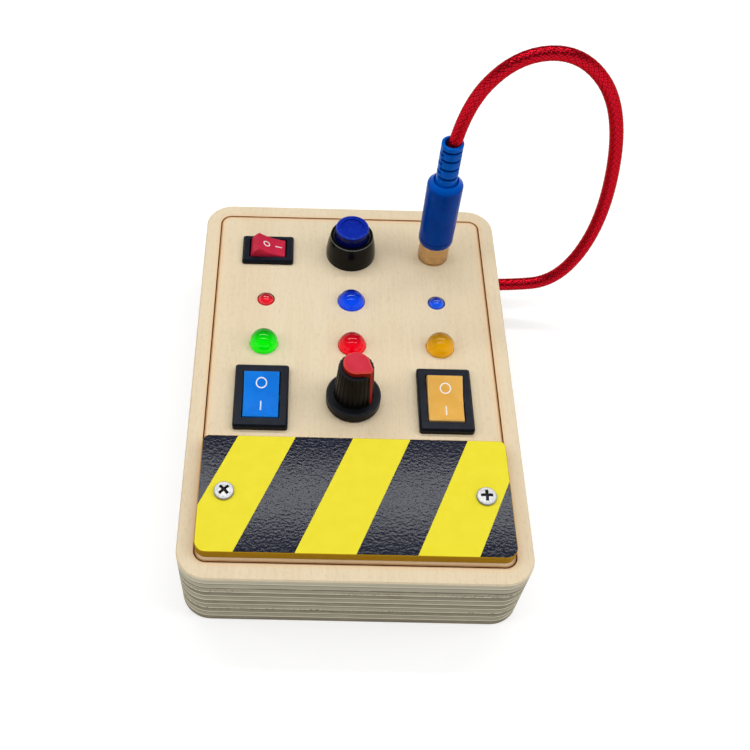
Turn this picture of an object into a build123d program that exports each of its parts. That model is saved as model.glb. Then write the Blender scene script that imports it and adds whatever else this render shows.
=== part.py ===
from build123d import *

import math
import os
from typing import NamedTuple

# Busy board: a laminated wooden box whose inset panel carries switches, lamps, a knob and a socket.
# Millimetres. +Z is up and +Y points away from the user. The origin is the centre of the underside.

# Shared clearances
cut_overrun = 1.0  # how far a cutting tool runs past the faces that it cuts
seat_gap = 0.05  # round fixed pieces that fit into one another
hole_gap = 0.1  # round the parts that drop into the panel
running_gap = 0.06  # round pins and shafts that turn or slide in a bearing
swing_gap = 0.3  # round pieces that swing in an opening
contact_gap = 0.1  # between electrical contacts that meet when they close

# Box of three glued layers
box_width = 90.0
box_length = 129.3
box_corner_radius = 8.0
base_thickness = 5.0
body_height = 15.0
body_wall = 8.0
body_inner_radius = 3.0
panel_thickness = 5.0
rim_side_width = 4.4
rim_end_width = 4.65
rim_inner_radius = 3.3
kerf_gap = 0.3
edge_ease = 0.4

body_top = base_thickness + body_height
panel_top = body_top + panel_thickness
panel_width = box_width - 2 * (rim_side_width + kerf_gap)
panel_length = box_length - 2 * (rim_end_width + kerf_gap)
inner_wall_x = box_width / 2 - body_wall

# Battery cover and its two screws
cover_end_margin = 1.1
cover_length = 34.2
cover_thickness = 3.0
cover_ease = 0.15
cover_near_radius = 3.0
cover_far_radius = 1.8
screw_place_share = 0.509  # of the way from the battery opening to the cover's edge
screw_head_radius = 2.6
screw_head_height = 1.3
screw_rim_height = 0.55
screw_shank_radius = 1.3
screw_length = 7.6
screw_slot_width = 0.85
screw_slot_length = 3.2
screw_slot_depth = 0.9
screw_turn = 45.0

cover_width = panel_width
cover_y = cover_end_margin + cover_length / 2 - panel_length / 2
cover_far_y = cover_y + cover_length / 2

# Places of the controls: columns as a share of half the panel, rows as shares of the field beyond the cover
column_share = 0.6303
lower_row_share = 0.1686
large_lamp_row_share = 0.4
small_lamp_row_share = 0.5972
top_row_share = 0.8264

column_pitch = panel_width / 2 * column_share
field_length = panel_length / 2 - cover_far_y
lower_row_y = cover_far_y + field_length * lower_row_share
large_lamp_row_y = cover_far_y + field_length * large_lamp_row_share
small_lamp_row_y = cover_far_y + field_length * small_lamp_row_share
top_row_y = cover_far_y + field_length * top_row_share

# Battery tray for two cells that lie side by side
cell_radius = 5.25
cell_length = 43.3
cell_nub_radius = 1.9
cell_nub_length = 1.2
tray_wall = 1.2
tray_floor = 1.4
tray_height = 12.0
tray_divider = 1.0
tray_divider_height = 4.0
tray_notch_length = 18.0
tray_notch_depth = 5.0
cell_gap = 0.3
plate_thickness = 0.4
plate_width = 8.0
battery_spring_length = 4.0
battery_spring_small_radius = 2.2
battery_spring_large_radius = 3.6
battery_spring_wire = 0.6
bay_margin = 1.0

cell_pocket_width = 2 * (cell_radius + cell_gap)
cell_pocket_length = cell_length + cell_nub_length + battery_spring_length + 2 * plate_thickness
tray_length = cell_pocket_length + 2 * tray_wall
tray_width = 2 * cell_pocket_width + tray_divider + 2 * tray_wall
cell_offset_y = (cell_pocket_width + tray_divider) / 2
cell_axis_z = base_thickness + tray_floor + cell_radius + seat_gap
bay_length = tray_length + 2 * bay_margin
bay_width = tray_width + 2 * bay_margin
screw_x = bay_length / 2 + (cover_width - bay_length) / 2 * screw_place_share

# Terminals end this far above the base
terminal_floor_gap = 2.0
terminal_tip_z = base_thickness + terminal_floor_gap

# Rocker switches: one pattern in two sizes
rocker_bezel_width = 15.0
rocker_bezel_length = 21.0
rocker_bezel_thickness = 2.0
rocker_body_width = 13.0
rocker_body_length = 19.0
rocker_paddle_width = 9.75
rocker_swing_radius = 7.5
rocker_pivot_depth = 2.0
rocker_tilt = 10.0
rocker_blade_width = 3.2
rocker_blade_length = 10.0

mini_bezel_width = 10.9
mini_bezel_length = 15.6
mini_bezel_thickness = 1.5
mini_body_width = 8.8
mini_body_length = 13.2
mini_paddle_width = 6.8
mini_swing_radius = 5.4
mini_pivot_depth = 1.6
mini_tilt = 22.0
mini_blade_width = 2.4
mini_blade_length = 7.0

bezel_corner_radius = 0.8
bezel_ease = 0.55
rocker_body_depth = 12.5
rocker_floor = 1.4
latch_reach = 0.8
latch_height = 3.0
latch_width_share = 0.5
paddle_flush = 0.1
paddle_land_angle = 7.0
paddle_skirt_depth = 1.6
paddle_ease = 0.45
trunnion_radius = 1.0
trunnion_reach_share = 0.5
trunnion_pocket_share = 0.7
stem_tip_radius = 0.8
stem_gap = 0.15
blade_depth = 9.0
blade_thickness = 0.6
blade_bar_radius = 0.6
blade_ratio_share = 0.5  # turn of the contact blade for each degree of the paddle
blade_contact_share = 0.8  # place of the end contact along half the blade
saddle_length = 2.2
saddle_height = 1.2
saddle_drop = 0.35
rocker_terminal_thickness = 0.8

# Push button
button_base_radius = 7.5
button_base_height = 1.8
button_top_radius = 6.4
button_collar_height = 8.0
button_collar_bulge_share = 0.62
button_lip = 0.8
button_lip_drop = 0.6
button_cap_radius = 5.0
button_cap_gap = 0.2
button_cap_top = 11.4
button_cap_dish_radius = 3.4
button_cap_dish_depth = 0.35
button_cap_ease = 0.6
button_cap_crown = 1.6
button_travel = 2.5
button_stop_margin = 0.5
button_floor_z = 2.0
button_thread_radius = 6.0
button_thread_reach = 12.5
button_bore_radius = 4.6
button_stem_radius = 1.5
button_spring_radius = 3.1
button_spring_wire = 0.5
button_spring_side_gap = 0.3
button_disc_radius = 3.6
button_disc_thickness = 0.5
button_disc_top_z = -5.6
button_plug_height = 2.5
button_terminal_spacing = 4.4
button_terminal_width = 1.8
button_terminal_thickness = 0.8
button_washer_radius = 7.6
button_washer_thickness = 0.6
button_nut_flats = 14.0
button_nut_height = 2.5

# Potentiometer and its knob
pot_plate_radius = 8.0
pot_plate_thickness = 1.2
pot_bushing_radius = 3.5
pot_shaft_radius = 3.0
pot_shaft_top = 12.0
pot_thread_stub = 0.4
pot_washer_radius = 5.0
pot_washer_thickness = 0.5
pot_nut_flats = 9.5
pot_nut_height = 2.0
pot_wafer_thickness = 1.2
pot_tongue_width = 12.0
pot_tongue_reach = 12.5
pot_lug_pitch = 4.0
pot_lug_width = 1.5
pot_lug_length = 6.5
pot_lug_thickness = 0.4
pot_can_depth = 5.6
pot_can_wall = 0.5
pot_wiper_radius = 6.5
pot_wiper_thickness = 1.5

knob_float = 0.4
knob_skirt_radius = 7.55
knob_skirt_top = 3.6
knob_skirt_ease = 0.5
knob_base_radius = 5.5
knob_top_radius = 4.75
knob_body_top = 15.9
knob_top_ease = 0.5
knob_recess_gap = 0.4
knob_flute_count = 24
knob_flute_radius = 0.45
knob_flute_depth = 0.3
pointer_angle = -35.0
pointer_disc_radius = 3.6
pointer_inset = 0.8
pointer_top = 17.7
pointer_ease = 0.5
pointer_tip_width = 1.3
pointer_stripe_depth = 0.5
pointer_proud = 0.12

# Lamps: diffused light-emitting diodes
large_lamp_radius = 4.0
low_lamp_height = 8.3
middle_lamp_height = 8.7
tall_lamp_height = 9.5
large_lamp_lip = 0.6
large_lamp_flange = 2.0
small_lamp_radius = 2.5
small_lamp_height = 6.6
small_lamp_lip = 0.45
small_lamp_flange = 1.0
lead_thickness = 0.5
lead_spacing = 2.54
lead_length = 7.0

# Socket in the panel
jack_barrel_radius = 4.1
jack_barrel_bore = 3.4
jack_barrel_top = 7.5
jack_flange_radius = 4.6
jack_flange_height = 0.5
jack_shank_radius = 3.2
jack_shank_bore = 2.6
jack_thread_stub = 1.2
jack_insulator_recess = 0.7
jack_contact_radius = 2.1
jack_contact_recess = 0.5
jack_contact_floor = 1.0
jack_contact_depth = 4.0
jack_tail_radius = 0.8
jack_lug_radius = 4.6
jack_lug_thickness = 0.4
jack_lug_tab_width = 2.4
jack_lug_tab_length = 5.0
jack_nut_flats = 9.0
jack_nut_height = 2.0

# Plug on the cord
plug_fit_gap = 0.1
plug_skirt_wall = 0.4
plug_skirt_float = 0.2
plug_web = 1.0
plug_web_gap = 0.5
plug_neck_radius = 4.0
plug_neck_bore = 3.2
plug_neck_length = 6.0
plug_pin_radius = 1.6
plug_pin_reach = 2.0
plug_tail_radius = 1.0
shell_bottom = 7.2
shell_radius = 5.2
shell_lip_radius = 4.95
shell_lip_height = 0.5
shell_band_height = 1.4
shell_band_groove = 0.15
shell_shoulder_z = 29.5
shell_shoulder_height = 2.4
shell_cavity_radius = 3.9
relief_radius = 3.1
relief_bore = 2.3
relief_top = 44.6
relief_ease = 0.2
relief_slot_count = 9
relief_slot_width = 4.0
relief_slot_height = 0.6
moat_radius = 3.7
moat_depth = 0.9

# Cord and the tie that holds it inside the wall
cord_radius = 1.9
cord_hole_gap = 0.2
cord_start_above_panel = 31.4
cord_exit_offset = 0.3  # from the socket's row towards the user
cord_exit_y = top_row_y - cord_exit_offset
cord_exit_z = base_thickness + body_height / 2
tie_radius = 3.3
tie_width = 2.0
cord_arc_share = 0.45

jack_x = column_pitch
cord_end_x = inner_wall_x - tie_width
cord_route = [
    (jack_x, top_row_y, panel_top + cord_start_above_panel),
    (jack_x, top_row_y, 78.0),
    (36.8, 46.6, 96.5),
    (54.5, 47.5, 97.8),
    (69.4, 47.4, 78.5),
    (74.3, 46.4, 41.0),
    (65.4, cord_exit_y, cord_exit_z),
    (cord_end_x, cord_exit_y, cord_exit_z),
]


class RockerSize(NamedTuple):
    """Sizes in which one rocker switch differs from another."""

    bezel_width: float
    bezel_length: float
    bezel_thickness: float
    body_width: float
    body_length: float
    paddle_width: float
    swing_radius: float
    pivot_depth: float
    tilt: float
    blade_width: float
    blade_length: float

    @property
    def opening_width(self):
        return self.paddle_width + 2 * swing_gap

    @property
    def opening_length(self):
        return 2 * (self.swing_radius + swing_gap)

    @property
    def side_wall(self):
        return (self.body_width - self.opening_width) / 2

    @property
    def pivot_z(self):
        """Height of the paddle's hinge axis over the panel's top face."""
        return self.bezel_thickness - self.pivot_depth

    @property
    def blade_tilt(self):
        return self.tilt * blade_ratio_share


full_rocker = RockerSize(
    rocker_bezel_width,
    rocker_bezel_length,
    rocker_bezel_thickness,
    rocker_body_width,
    rocker_body_length,
    rocker_paddle_width,
    rocker_swing_radius,
    rocker_pivot_depth,
    rocker_tilt,
    rocker_blade_width,
    rocker_blade_length,
)
mini_rocker = RockerSize(
    mini_bezel_width,
    mini_bezel_length,
    mini_bezel_thickness,
    mini_body_width,
    mini_body_length,
    mini_paddle_width,
    mini_swing_radius,
    mini_pivot_depth,
    mini_tilt,
    mini_blade_width,
    mini_blade_length,
)


class RockerPlace(NamedTuple):
    """A rocker switch on the panel: its size, its place and its turn about Z."""

    name: str
    size: RockerSize
    x: float
    y: float
    turn: float


rockers = [
    RockerPlace("mini_rocker", mini_rocker, -column_pitch, top_row_y, 90),
    RockerPlace("blue_rocker", full_rocker, -column_pitch, lower_row_y, 0),
    RockerPlace("yellow_rocker", full_rocker, column_pitch, lower_row_y, 0),
]


class LampSize(NamedTuple):
    """Sizes of one lamp above and at its flange."""

    radius: float
    height: float
    lip: float
    flange: float


low_lamp = LampSize(large_lamp_radius, low_lamp_height, large_lamp_lip, large_lamp_flange)
middle_lamp = LampSize(large_lamp_radius, middle_lamp_height, large_lamp_lip, large_lamp_flange)
tall_lamp = LampSize(large_lamp_radius, tall_lamp_height, large_lamp_lip, large_lamp_flange)
small_lamp = LampSize(small_lamp_radius, small_lamp_height, small_lamp_lip, small_lamp_flange)

lamps = {
    "small_red_lamp": (small_lamp, -column_pitch, small_lamp_row_y),
    "large_blue_lamp": (low_lamp, 0, small_lamp_row_y),
    "small_blue_lamp": (small_lamp, column_pitch, small_lamp_row_y),
    "large_green_lamp": (tall_lamp, -column_pitch, large_lamp_row_y),
    "large_red_lamp": (middle_lamp, 0, large_lamp_row_y),
    "large_yellow_lamp": (tall_lamp, column_pitch, large_lamp_row_y),
}


# Basic shapes

STANDING = (Align.CENTER, Align.CENTER, Align.MIN)


def brick(width, length, height, z=0):
    """Box centred on the Z axis that stands on z."""
    return Pos(0, 0, z) * Box(width, length, height, align=STANDING)


def rounded_plate(width, length, height, radius, z=0):
    """Plate with rounded corners, centred on the Z axis, that stands on z."""
    return Pos(0, 0, z) * extrude(RectangleRounded(width, length, radius), height)


def rod(radius, bottom, top):
    """Round bar along Z between two heights."""
    return Pos(0, 0, bottom) * Cylinder(radius, top - bottom, align=STANDING)


def cross_rod(radius, length):
    """Round bar along X, centred on the origin."""
    return Rot(0, 90, 0) * Cylinder(radius, length)


def turned(*outline):
    """Solid turned about Z from a closed outline of (radius, height) points."""
    corners = [(radius, 0, height) for radius, height in outline]
    return revolve(make_face(Polyline(*corners, close=True)), Axis.Z)


def hexagon_nut(flats, bore, bottom, height):
    """Plain hexagon nut along Z."""
    blank = extrude(RegularPolygon(flats / 2, 6, major_radius=False), height)
    return Pos(0, 0, bottom) * blank - rod(bore, bottom - cut_overrun, bottom + height + cut_overrun)


def ring(outer, inner, bottom, top):
    """Tube along Z between two heights."""
    return rod(outer, bottom, top) - rod(inner, bottom - cut_overrun, top + cut_overrun)


def group(solids):
    """Several separate solids as one node."""
    return Compound(children=list(solids))


def on_panel(shape, x, y):
    """Move a part from its own frame, whose zero is the panel's top face, to its place."""
    return Pos(x, y, panel_top) * shape


# Wooden box


def base_plate():
    plate = rounded_plate(box_width, box_length, base_thickness, box_corner_radius)
    return chamfer(plate.edges().group_by(Axis.Z)[0], edge_ease)


def body_frame():
    """Glued ring of ply between the base and the panel, with the cord's hole in its right wall."""
    outer = rounded_plate(box_width, box_length, body_height, box_corner_radius, base_thickness)
    inner = rounded_plate(
        box_width - 2 * body_wall,
        box_length - 2 * body_wall,
        body_height + 2 * cut_overrun,
        body_inner_radius,
        base_thickness - cut_overrun,
    )
    hole = cross_rod(cord_radius + cord_hole_gap, body_wall + 2 * cut_overrun)
    return outer - inner - Pos(box_width / 2 - body_wall / 2, cord_exit_y, cord_exit_z) * hole


def top_rim():
    outer = rounded_plate(box_width, box_length, panel_thickness, box_corner_radius, body_top)
    outer = chamfer(outer.edges().group_by(Axis.Z)[-1], edge_ease)
    inner = rounded_plate(
        box_width - 2 * rim_side_width,
        box_length - 2 * rim_end_width,
        panel_thickness + 2 * cut_overrun,
        rim_inner_radius,
        body_top - cut_overrun,
    )
    return outer - inner


def control_panel():
    """Inset panel with a hole for each part that it carries and the battery opening."""
    panel = rounded_plate(panel_width, panel_length, panel_thickness, rim_inner_radius - kerf_gap, body_top)
    bottom = -panel_thickness - cut_overrun
    cuts = []
    for rocker in rockers:
        slot = brick(
            rocker.size.body_width + 2 * hole_gap,
            rocker.size.body_length + 2 * hole_gap,
            panel_thickness + 2 * cut_overrun,
            bottom,
        )
        cuts.append(on_panel(Rot(0, 0, rocker.turn) * slot, rocker.x, rocker.y))
    round_holes = [
        (button_thread_radius, 0, top_row_y),
        (pot_bushing_radius, 0, lower_row_y),
        (jack_shank_radius, jack_x, top_row_y),
    ]
    round_holes += [(size.radius, x, y) for size, x, y in lamps.values()]
    for radius, x, y in round_holes:
        cuts.append(on_panel(rod(radius + hole_gap, bottom, cut_overrun), x, y))
    bay = brick(bay_length, bay_width, panel_thickness + 2 * cut_overrun, bottom)
    cuts.append(on_panel(bay, 0, cover_y))
    for side in (-1, 1):
        pilot = rod(screw_shank_radius + seat_gap, bottom, cut_overrun)
        cuts.append(on_panel(pilot, side * screw_x, cover_y))
    return panel - cuts


# Battery compartment


def battery_cover():
    sheet = Rectangle(cover_width, cover_length)
    sheet = fillet(sheet.vertices().group_by(Axis.Y)[0], cover_near_radius)
    sheet = fillet(sheet.vertices().group_by(Axis.Y)[-1], cover_far_radius)
    plate = extrude(sheet, cover_thickness)
    plate = chamfer(plate.edges().group_by(Axis.Z)[-1], cover_ease)
    for side in (-1, 1):
        hole = rod(screw_shank_radius + hole_gap, -cut_overrun, cover_thickness + cut_overrun)
        plate -= Pos(side * screw_x, 0, 0) * hole
    return on_panel(plate, 0, cover_y)


def cover_screw():
    """Pan-head screw with a cross recess, seated on the cover."""
    crown = screw_head_height - screw_rim_height
    crown_radius = (screw_head_radius**2 + crown**2) / (2 * crown)
    half_radius = screw_head_radius / 2
    half_drop = crown_radius - math.sqrt(crown_radius**2 - half_radius**2)
    rim_edge = (screw_head_radius, 0, screw_rim_height)
    head_top = (0, 0, screw_head_height)
    head = make_face(
        [
            *Polyline(head_top, (0, 0, 0), (screw_head_radius, 0, 0), rim_edge).edges(),
            ThreePointArc(rim_edge, (half_radius, 0, screw_head_height - half_drop), head_top),
        ]
    )
    screw = revolve(head, Axis.Z) + rod(screw_shank_radius, -screw_length, 0)
    slot_bottom = screw_head_height - screw_slot_depth
    for turn in (0, 90):
        slot = brick(screw_slot_length, screw_slot_width, screw_slot_depth + cut_overrun, slot_bottom)
        screw -= Rot(0, 0, turn) * slot
    return screw


def cover_screws():
    screw = Pos(0, 0, cover_thickness) * cover_screw()
    seats = ((-screw_x, screw_turn), (screw_x, 0))
    return group(on_panel(Rot(0, 0, turn) * screw, x, cover_y) for x, turn in seats)


def battery_tray():
    """Open tray with a pocket for each cell, a low divider and a finger notch in its long walls."""
    tray = brick(tray_length, tray_width, tray_height)
    depth = tray_height - tray_floor + cut_overrun
    for side in (-1, 1):
        pocket = brick(cell_pocket_length, cell_pocket_width, depth, tray_floor)
        tray -= Pos(0, side * cell_offset_y, 0) * pocket
    divider_top = tray_floor + tray_divider_height
    tray -= brick(cell_pocket_length, tray_divider + cell_gap, tray_height, divider_top)
    notch_bottom = tray_height - tray_notch_depth
    notch = brick(tray_notch_length, tray_width + 2 * cut_overrun, tray_height, notch_bottom)
    return Pos(0, cover_y, base_thickness) * (tray - notch)


def battery_ends():
    """Each cell's row and the way that its nub points."""
    return ((cell_offset_y, 1), (-cell_offset_y, -1))


def battery_cells():
    cells = []
    nub_end = cell_pocket_length / 2 - plate_thickness
    whole_length = cell_length + cell_nub_length
    cell = rod(cell_radius, 0, cell_length) + rod(cell_nub_radius, cell_length, whole_length)
    start = nub_end - whole_length
    for y, way in battery_ends():
        lying = Rot(0, 0, 90 - 90 * way) * Pos(start, 0, 0) * Rot(0, 90, 0) * cell
        cells.append(Pos(0, cover_y + y, cell_axis_z) * lying)
    return group(cells)


def battery_contacts():
    """Flat contact plates on the end walls of the tray."""
    plates = []
    height = cell_axis_z - base_thickness - tray_floor + cell_radius / 2
    for y, _ in battery_ends():
        for side in (-1, 1):
            plate = brick(plate_thickness, plate_width, height, base_thickness + tray_floor)
            x = side * (cell_pocket_length - plate_thickness) / 2
            plates.append(Pos(x, cover_y + y, 0) * plate)
    return group(plates)


def battery_springs():
    """Cone springs between the contact plates and the flat ends of the cells."""
    springs = []
    length = battery_spring_length
    for y, way in battery_ends():
        cone = turned(
            (battery_spring_large_radius - battery_spring_wire, 0),
            (battery_spring_large_radius, 0),
            (battery_spring_small_radius, length),
            (battery_spring_small_radius - battery_spring_wire, length),
        )
        start = plate_thickness - cell_pocket_length / 2
        lying = Rot(0, 0, 90 - 90 * way) * Pos(start, 0, 0) * Rot(0, 90, 0) * cone
        springs.append(Pos(0, cover_y + y, cell_axis_z) * lying)
    return group(springs)


# Rocker switches, built along Y with the panel's top face at zero


def rocker_housing(size):
    """Bezel and box in one moulding, with latches under the panel and pockets for the trunnions."""
    bezel = rounded_plate(size.bezel_width, size.bezel_length, size.bezel_thickness, bezel_corner_radius)
    bezel = chamfer(bezel.edges().group_by(Axis.Z)[-1], bezel_ease)
    body = brick(size.body_width, size.body_length, rocker_body_depth, -rocker_body_depth)
    floor_top = rocker_floor - rocker_body_depth
    cavity = brick(
        size.opening_width,
        size.opening_length,
        size.bezel_thickness - floor_top + cut_overrun,
        floor_top,
    )
    housing = bezel + body
    latch_top = -panel_thickness - seat_gap
    root = size.body_length / 2
    for side in (-1, 1):
        corners = [
            (0, side * root, latch_top),
            (0, side * (root + latch_reach), latch_top),
            (0, side * root, latch_top - latch_height),
        ]
        wedge = make_face(Polyline(*corners, close=True))
        housing += extrude(wedge, size.body_width * latch_width_share / 2, both=True)
    pocket_length = size.opening_width + 2 * size.side_wall * trunnion_pocket_share
    pocket = Pos(0, 0, size.pivot_z) * cross_rod(trunnion_radius + running_gap, pocket_length)
    housing = housing - cavity - pocket
    for y in (0, rocker_contact_y(size)):
        slot = brick(
            size.blade_width + 2 * seat_gap,
            rocker_terminal_thickness + 2 * seat_gap,
            rocker_floor + 2 * cut_overrun,
            -rocker_body_depth - cut_overrun,
        )
        housing -= Pos(0, y, 0) * slot
    return housing


def rocker_paddle(size):
    """Paddle with a dished top, ends that sweep round the hinge, trunnions and a contact stem."""
    radius = size.swing_radius
    flush_angle = math.asin((size.pivot_depth + paddle_flush) / radius)
    corner_angle = flush_angle + math.radians(size.tilt)
    corner_y = radius * math.cos(corner_angle)
    corner_z = radius * math.sin(corner_angle)
    valley_z = corner_z - corner_y * math.tan(math.radians(paddle_land_angle))
    skirt_y = math.sqrt(radius**2 - paddle_skirt_depth**2)
    far_side = ThreePointArc((0, skirt_y, -paddle_skirt_depth), (0, radius, 0), (0, corner_y, corner_z))
    near_side = ThreePointArc((0, -corner_y, corner_z), (0, -radius, 0), (0, -skirt_y, -paddle_skirt_depth))
    outline = [
        Line((0, -skirt_y, -paddle_skirt_depth), (0, skirt_y, -paddle_skirt_depth)),
        far_side,
        ThreePointArc((0, corner_y, corner_z), (0, 0, valley_z), (0, -corner_y, corner_z)),
        near_side,
    ]
    paddle = extrude(make_face(outline), size.paddle_width / 2, both=True)
    top_face = paddle.faces().sort_by_distance((0, 0, valley_z))[0]
    paddle = fillet(top_face.edges(), paddle_ease)
    trunnion_length = size.paddle_width + 2 * (swing_gap + size.side_wall * trunnion_reach_share)
    paddle += cross_rod(trunnion_radius, trunnion_length)
    tip_z = stem_tip_z(size)
    stem = brick(size.blade_width, 2 * stem_tip_radius, -tip_z, tip_z)
    paddle += stem + Pos(0, 0, tip_z) * cross_rod(stem_tip_radius, size.blade_width)
    return Pos(0, 0, size.pivot_z) * Rot(size.tilt, 0, 0) * paddle


def stem_tip_z(size):
    """Height of the stem's rounded tip over the hinge axis, which leaves the blade its gap."""
    blade_drop = blade_depth + size.pivot_z
    return blade_thickness + stem_tip_radius + stem_gap - blade_drop


def rocker_contact_y(size):
    """Place of the end contact, on the raised side of the paddle."""
    return size.blade_length / 2 * blade_contact_share


def rocker_blade(size):
    """See-saw contact blade on a round fulcrum bar."""
    blade = brick(size.blade_width, size.blade_length, blade_thickness)
    blade += cross_rod(blade_bar_radius, size.blade_width)
    return Pos(0, 0, -blade_depth) * Rot(-size.blade_tilt, 0, 0) * blade


def rocker_terminals(size):
    """Centre terminal with the blade's saddle, and the end terminal that the blade meets."""
    tip = terminal_tip_z - panel_top
    saddle_top = -blade_depth - saddle_drop
    saddle_bottom = saddle_top - saddle_height
    saddle = brick(size.blade_width, saddle_length, saddle_height, saddle_bottom)
    groove = cross_rod(blade_bar_radius + running_gap, size.blade_width + 2 * cut_overrun)
    saddle -= Pos(0, 0, -blade_depth) * groove
    centre = saddle + brick(size.blade_width, rocker_terminal_thickness, saddle_bottom - tip, tip)
    contact_y = rocker_contact_y(size)
    outer_y = contact_y + rocker_terminal_thickness / 2
    contact_z = -blade_depth - outer_y * math.tan(math.radians(size.blade_tilt)) - contact_gap
    end = brick(size.blade_width, rocker_terminal_thickness, contact_z - tip, tip)
    return group([centre, Pos(0, contact_y, 0) * end])


# Push button, with the panel's top face at zero


def button_collar():
    """Tapered collar and threaded barrel in one moulding."""
    bore = button_cap_radius + button_cap_gap
    bulge_radius = button_top_radius + (button_base_radius - button_top_radius) * button_collar_bulge_share
    bulge_z = (button_base_height + button_collar_height) / 2
    guide_bottom = button_disc_top_z + contact_gap
    outline = [
        Polyline(
            (button_thread_radius, 0, -button_thread_reach),
            (button_thread_radius, 0, 0),
            (button_base_radius, 0, 0),
            (button_base_radius, 0, button_base_height),
        ),
        ThreePointArc(
            (button_base_radius, 0, button_base_height),
            (bulge_radius, 0, bulge_z),
            (button_top_radius, 0, button_collar_height),
        ),
        Polyline(
            (button_top_radius, 0, button_collar_height),
            (button_top_radius - button_lip, 0, button_collar_height),
            (bore, 0, button_collar_height - button_lip_drop),
            (bore, 0, button_floor_z),
            (button_stem_radius + running_gap, 0, button_floor_z),
            (button_stem_radius + running_gap, 0, guide_bottom),
            (button_bore_radius, 0, guide_bottom),
            (button_bore_radius, 0, -button_thread_reach),
            (button_thread_radius, 0, -button_thread_reach),
        ),
    ]
    edges = [edge for curve in outline for edge in curve.edges()]
    return revolve(make_face(edges), Axis.Z)


def button_cap():
    """Cap with a dished top and a hollow underside for the return spring."""
    bottom = button_floor_z + button_travel + button_stop_margin
    hollow = button_spring_radius + button_spring_side_gap
    ceiling = button_cap_top - button_cap_crown
    cap = rod(button_cap_radius, bottom, button_cap_top)
    cap = fillet(cap.edges().group_by(Axis.Z)[-1], button_cap_ease)
    cap -= rod(button_cap_dish_radius, button_cap_top - button_cap_dish_depth, button_cap_top + cut_overrun)
    return cap - rod(hollow, bottom - cut_overrun, ceiling)


def button_stem():
    bottom = button_disc_top_z - button_disc_thickness
    return rod(button_stem_radius, bottom, button_cap_top - button_cap_crown)


def button_spring():
    inner = button_spring_radius - button_spring_wire
    return ring(button_spring_radius, inner, button_floor_z, button_cap_top - button_cap_crown)


def button_contact():
    """Bridging disc on the end of the stem."""
    bottom = button_disc_top_z - button_disc_thickness
    return ring(button_disc_radius, button_stem_radius, bottom, button_disc_top_z)


def button_terminal_places():
    return (-button_terminal_spacing / 2, button_terminal_spacing / 2)


def button_base():
    """Insulating plug that closes the barrel."""
    top = button_plug_height - button_thread_reach
    plug = rod(button_bore_radius - seat_gap, -button_thread_reach, top)
    for x in button_terminal_places():
        slot = brick(
            button_terminal_thickness + 2 * seat_gap,
            button_terminal_width + 2 * seat_gap,
            button_plug_height + 2 * cut_overrun,
            -button_thread_reach - cut_overrun,
        )
        plug -= Pos(x, 0, 0) * slot
    return plug


def button_terminals():
    tip = terminal_tip_z - panel_top
    top = button_disc_top_z - button_disc_thickness - button_travel - contact_gap
    blade = brick(button_terminal_thickness, button_terminal_width, top - tip, tip)
    return group(Pos(x, 0, 0) * blade for x in button_terminal_places())


def button_washer():
    top = -panel_thickness
    return ring(button_washer_radius, button_thread_radius + seat_gap, top - button_washer_thickness, top)


def button_nut():
    bottom = -panel_thickness - button_washer_thickness - button_nut_height
    return hexagon_nut(button_nut_flats, button_thread_radius + seat_gap, bottom, button_nut_height)


# Potentiometer and knob, with the panel's top face at zero

pot_bushing_top = pot_washer_thickness + pot_nut_height + pot_thread_stub
pot_plate_bottom = -panel_thickness - pot_plate_thickness
pot_wafer_bottom = pot_plate_bottom - pot_wafer_thickness
pot_wiper_top = pot_wafer_bottom - swing_gap
pot_wiper_bottom = pot_wiper_top - pot_wiper_thickness


def pot_bushing():
    """Threaded bushing on the front plate."""
    body = rod(pot_plate_radius, pot_plate_bottom, -panel_thickness)
    body += rod(pot_bushing_radius, -panel_thickness, pot_bushing_top)
    bore = pot_shaft_radius + running_gap
    return body - rod(bore, pot_plate_bottom - cut_overrun, pot_bushing_top + cut_overrun)


def pot_wafer():
    """Insulating wafer with a tongue that carries the solder lugs."""
    wafer = rod(pot_plate_radius, pot_wafer_bottom, pot_plate_bottom)
    tongue = brick(pot_tongue_width, pot_tongue_reach, pot_wafer_thickness, pot_wafer_bottom)
    wafer += Pos(0, -pot_tongue_reach / 2, 0) * tongue
    hole = pot_shaft_radius + swing_gap
    return wafer - rod(hole, pot_wafer_bottom - cut_overrun, pot_plate_bottom + cut_overrun)


def pot_lugs():
    lugs = []
    start_y = -pot_plate_radius - seat_gap
    for step in (-1, 0, 1):
        lug = brick(pot_lug_width, pot_lug_length, pot_lug_thickness, pot_wafer_bottom - pot_lug_thickness)
        lugs.append(Pos(step * pot_lug_pitch, start_y - pot_lug_length / 2, 0) * lug)
    return group(lugs)


def pot_can():
    """Rear cup that closes the wiper's chamber."""
    bottom = pot_wafer_bottom - pot_can_depth
    cup = rod(pot_plate_radius, bottom, pot_wafer_bottom)
    return cup - rod(pot_plate_radius - pot_can_wall, bottom + pot_can_wall, pot_wafer_bottom + cut_overrun)


def pot_wiper():
    return ring(pot_wiper_radius, pot_shaft_radius, pot_wiper_bottom, pot_wiper_top)


def pot_shaft():
    return rod(pot_shaft_radius, pot_wiper_bottom, pot_shaft_top)


def pot_washer():
    return ring(pot_washer_radius, pot_bushing_radius + seat_gap, 0, pot_washer_thickness)


def pot_nut():
    return hexagon_nut(pot_nut_flats, pot_bushing_radius + seat_gap, pot_washer_thickness, pot_nut_height)


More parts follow.
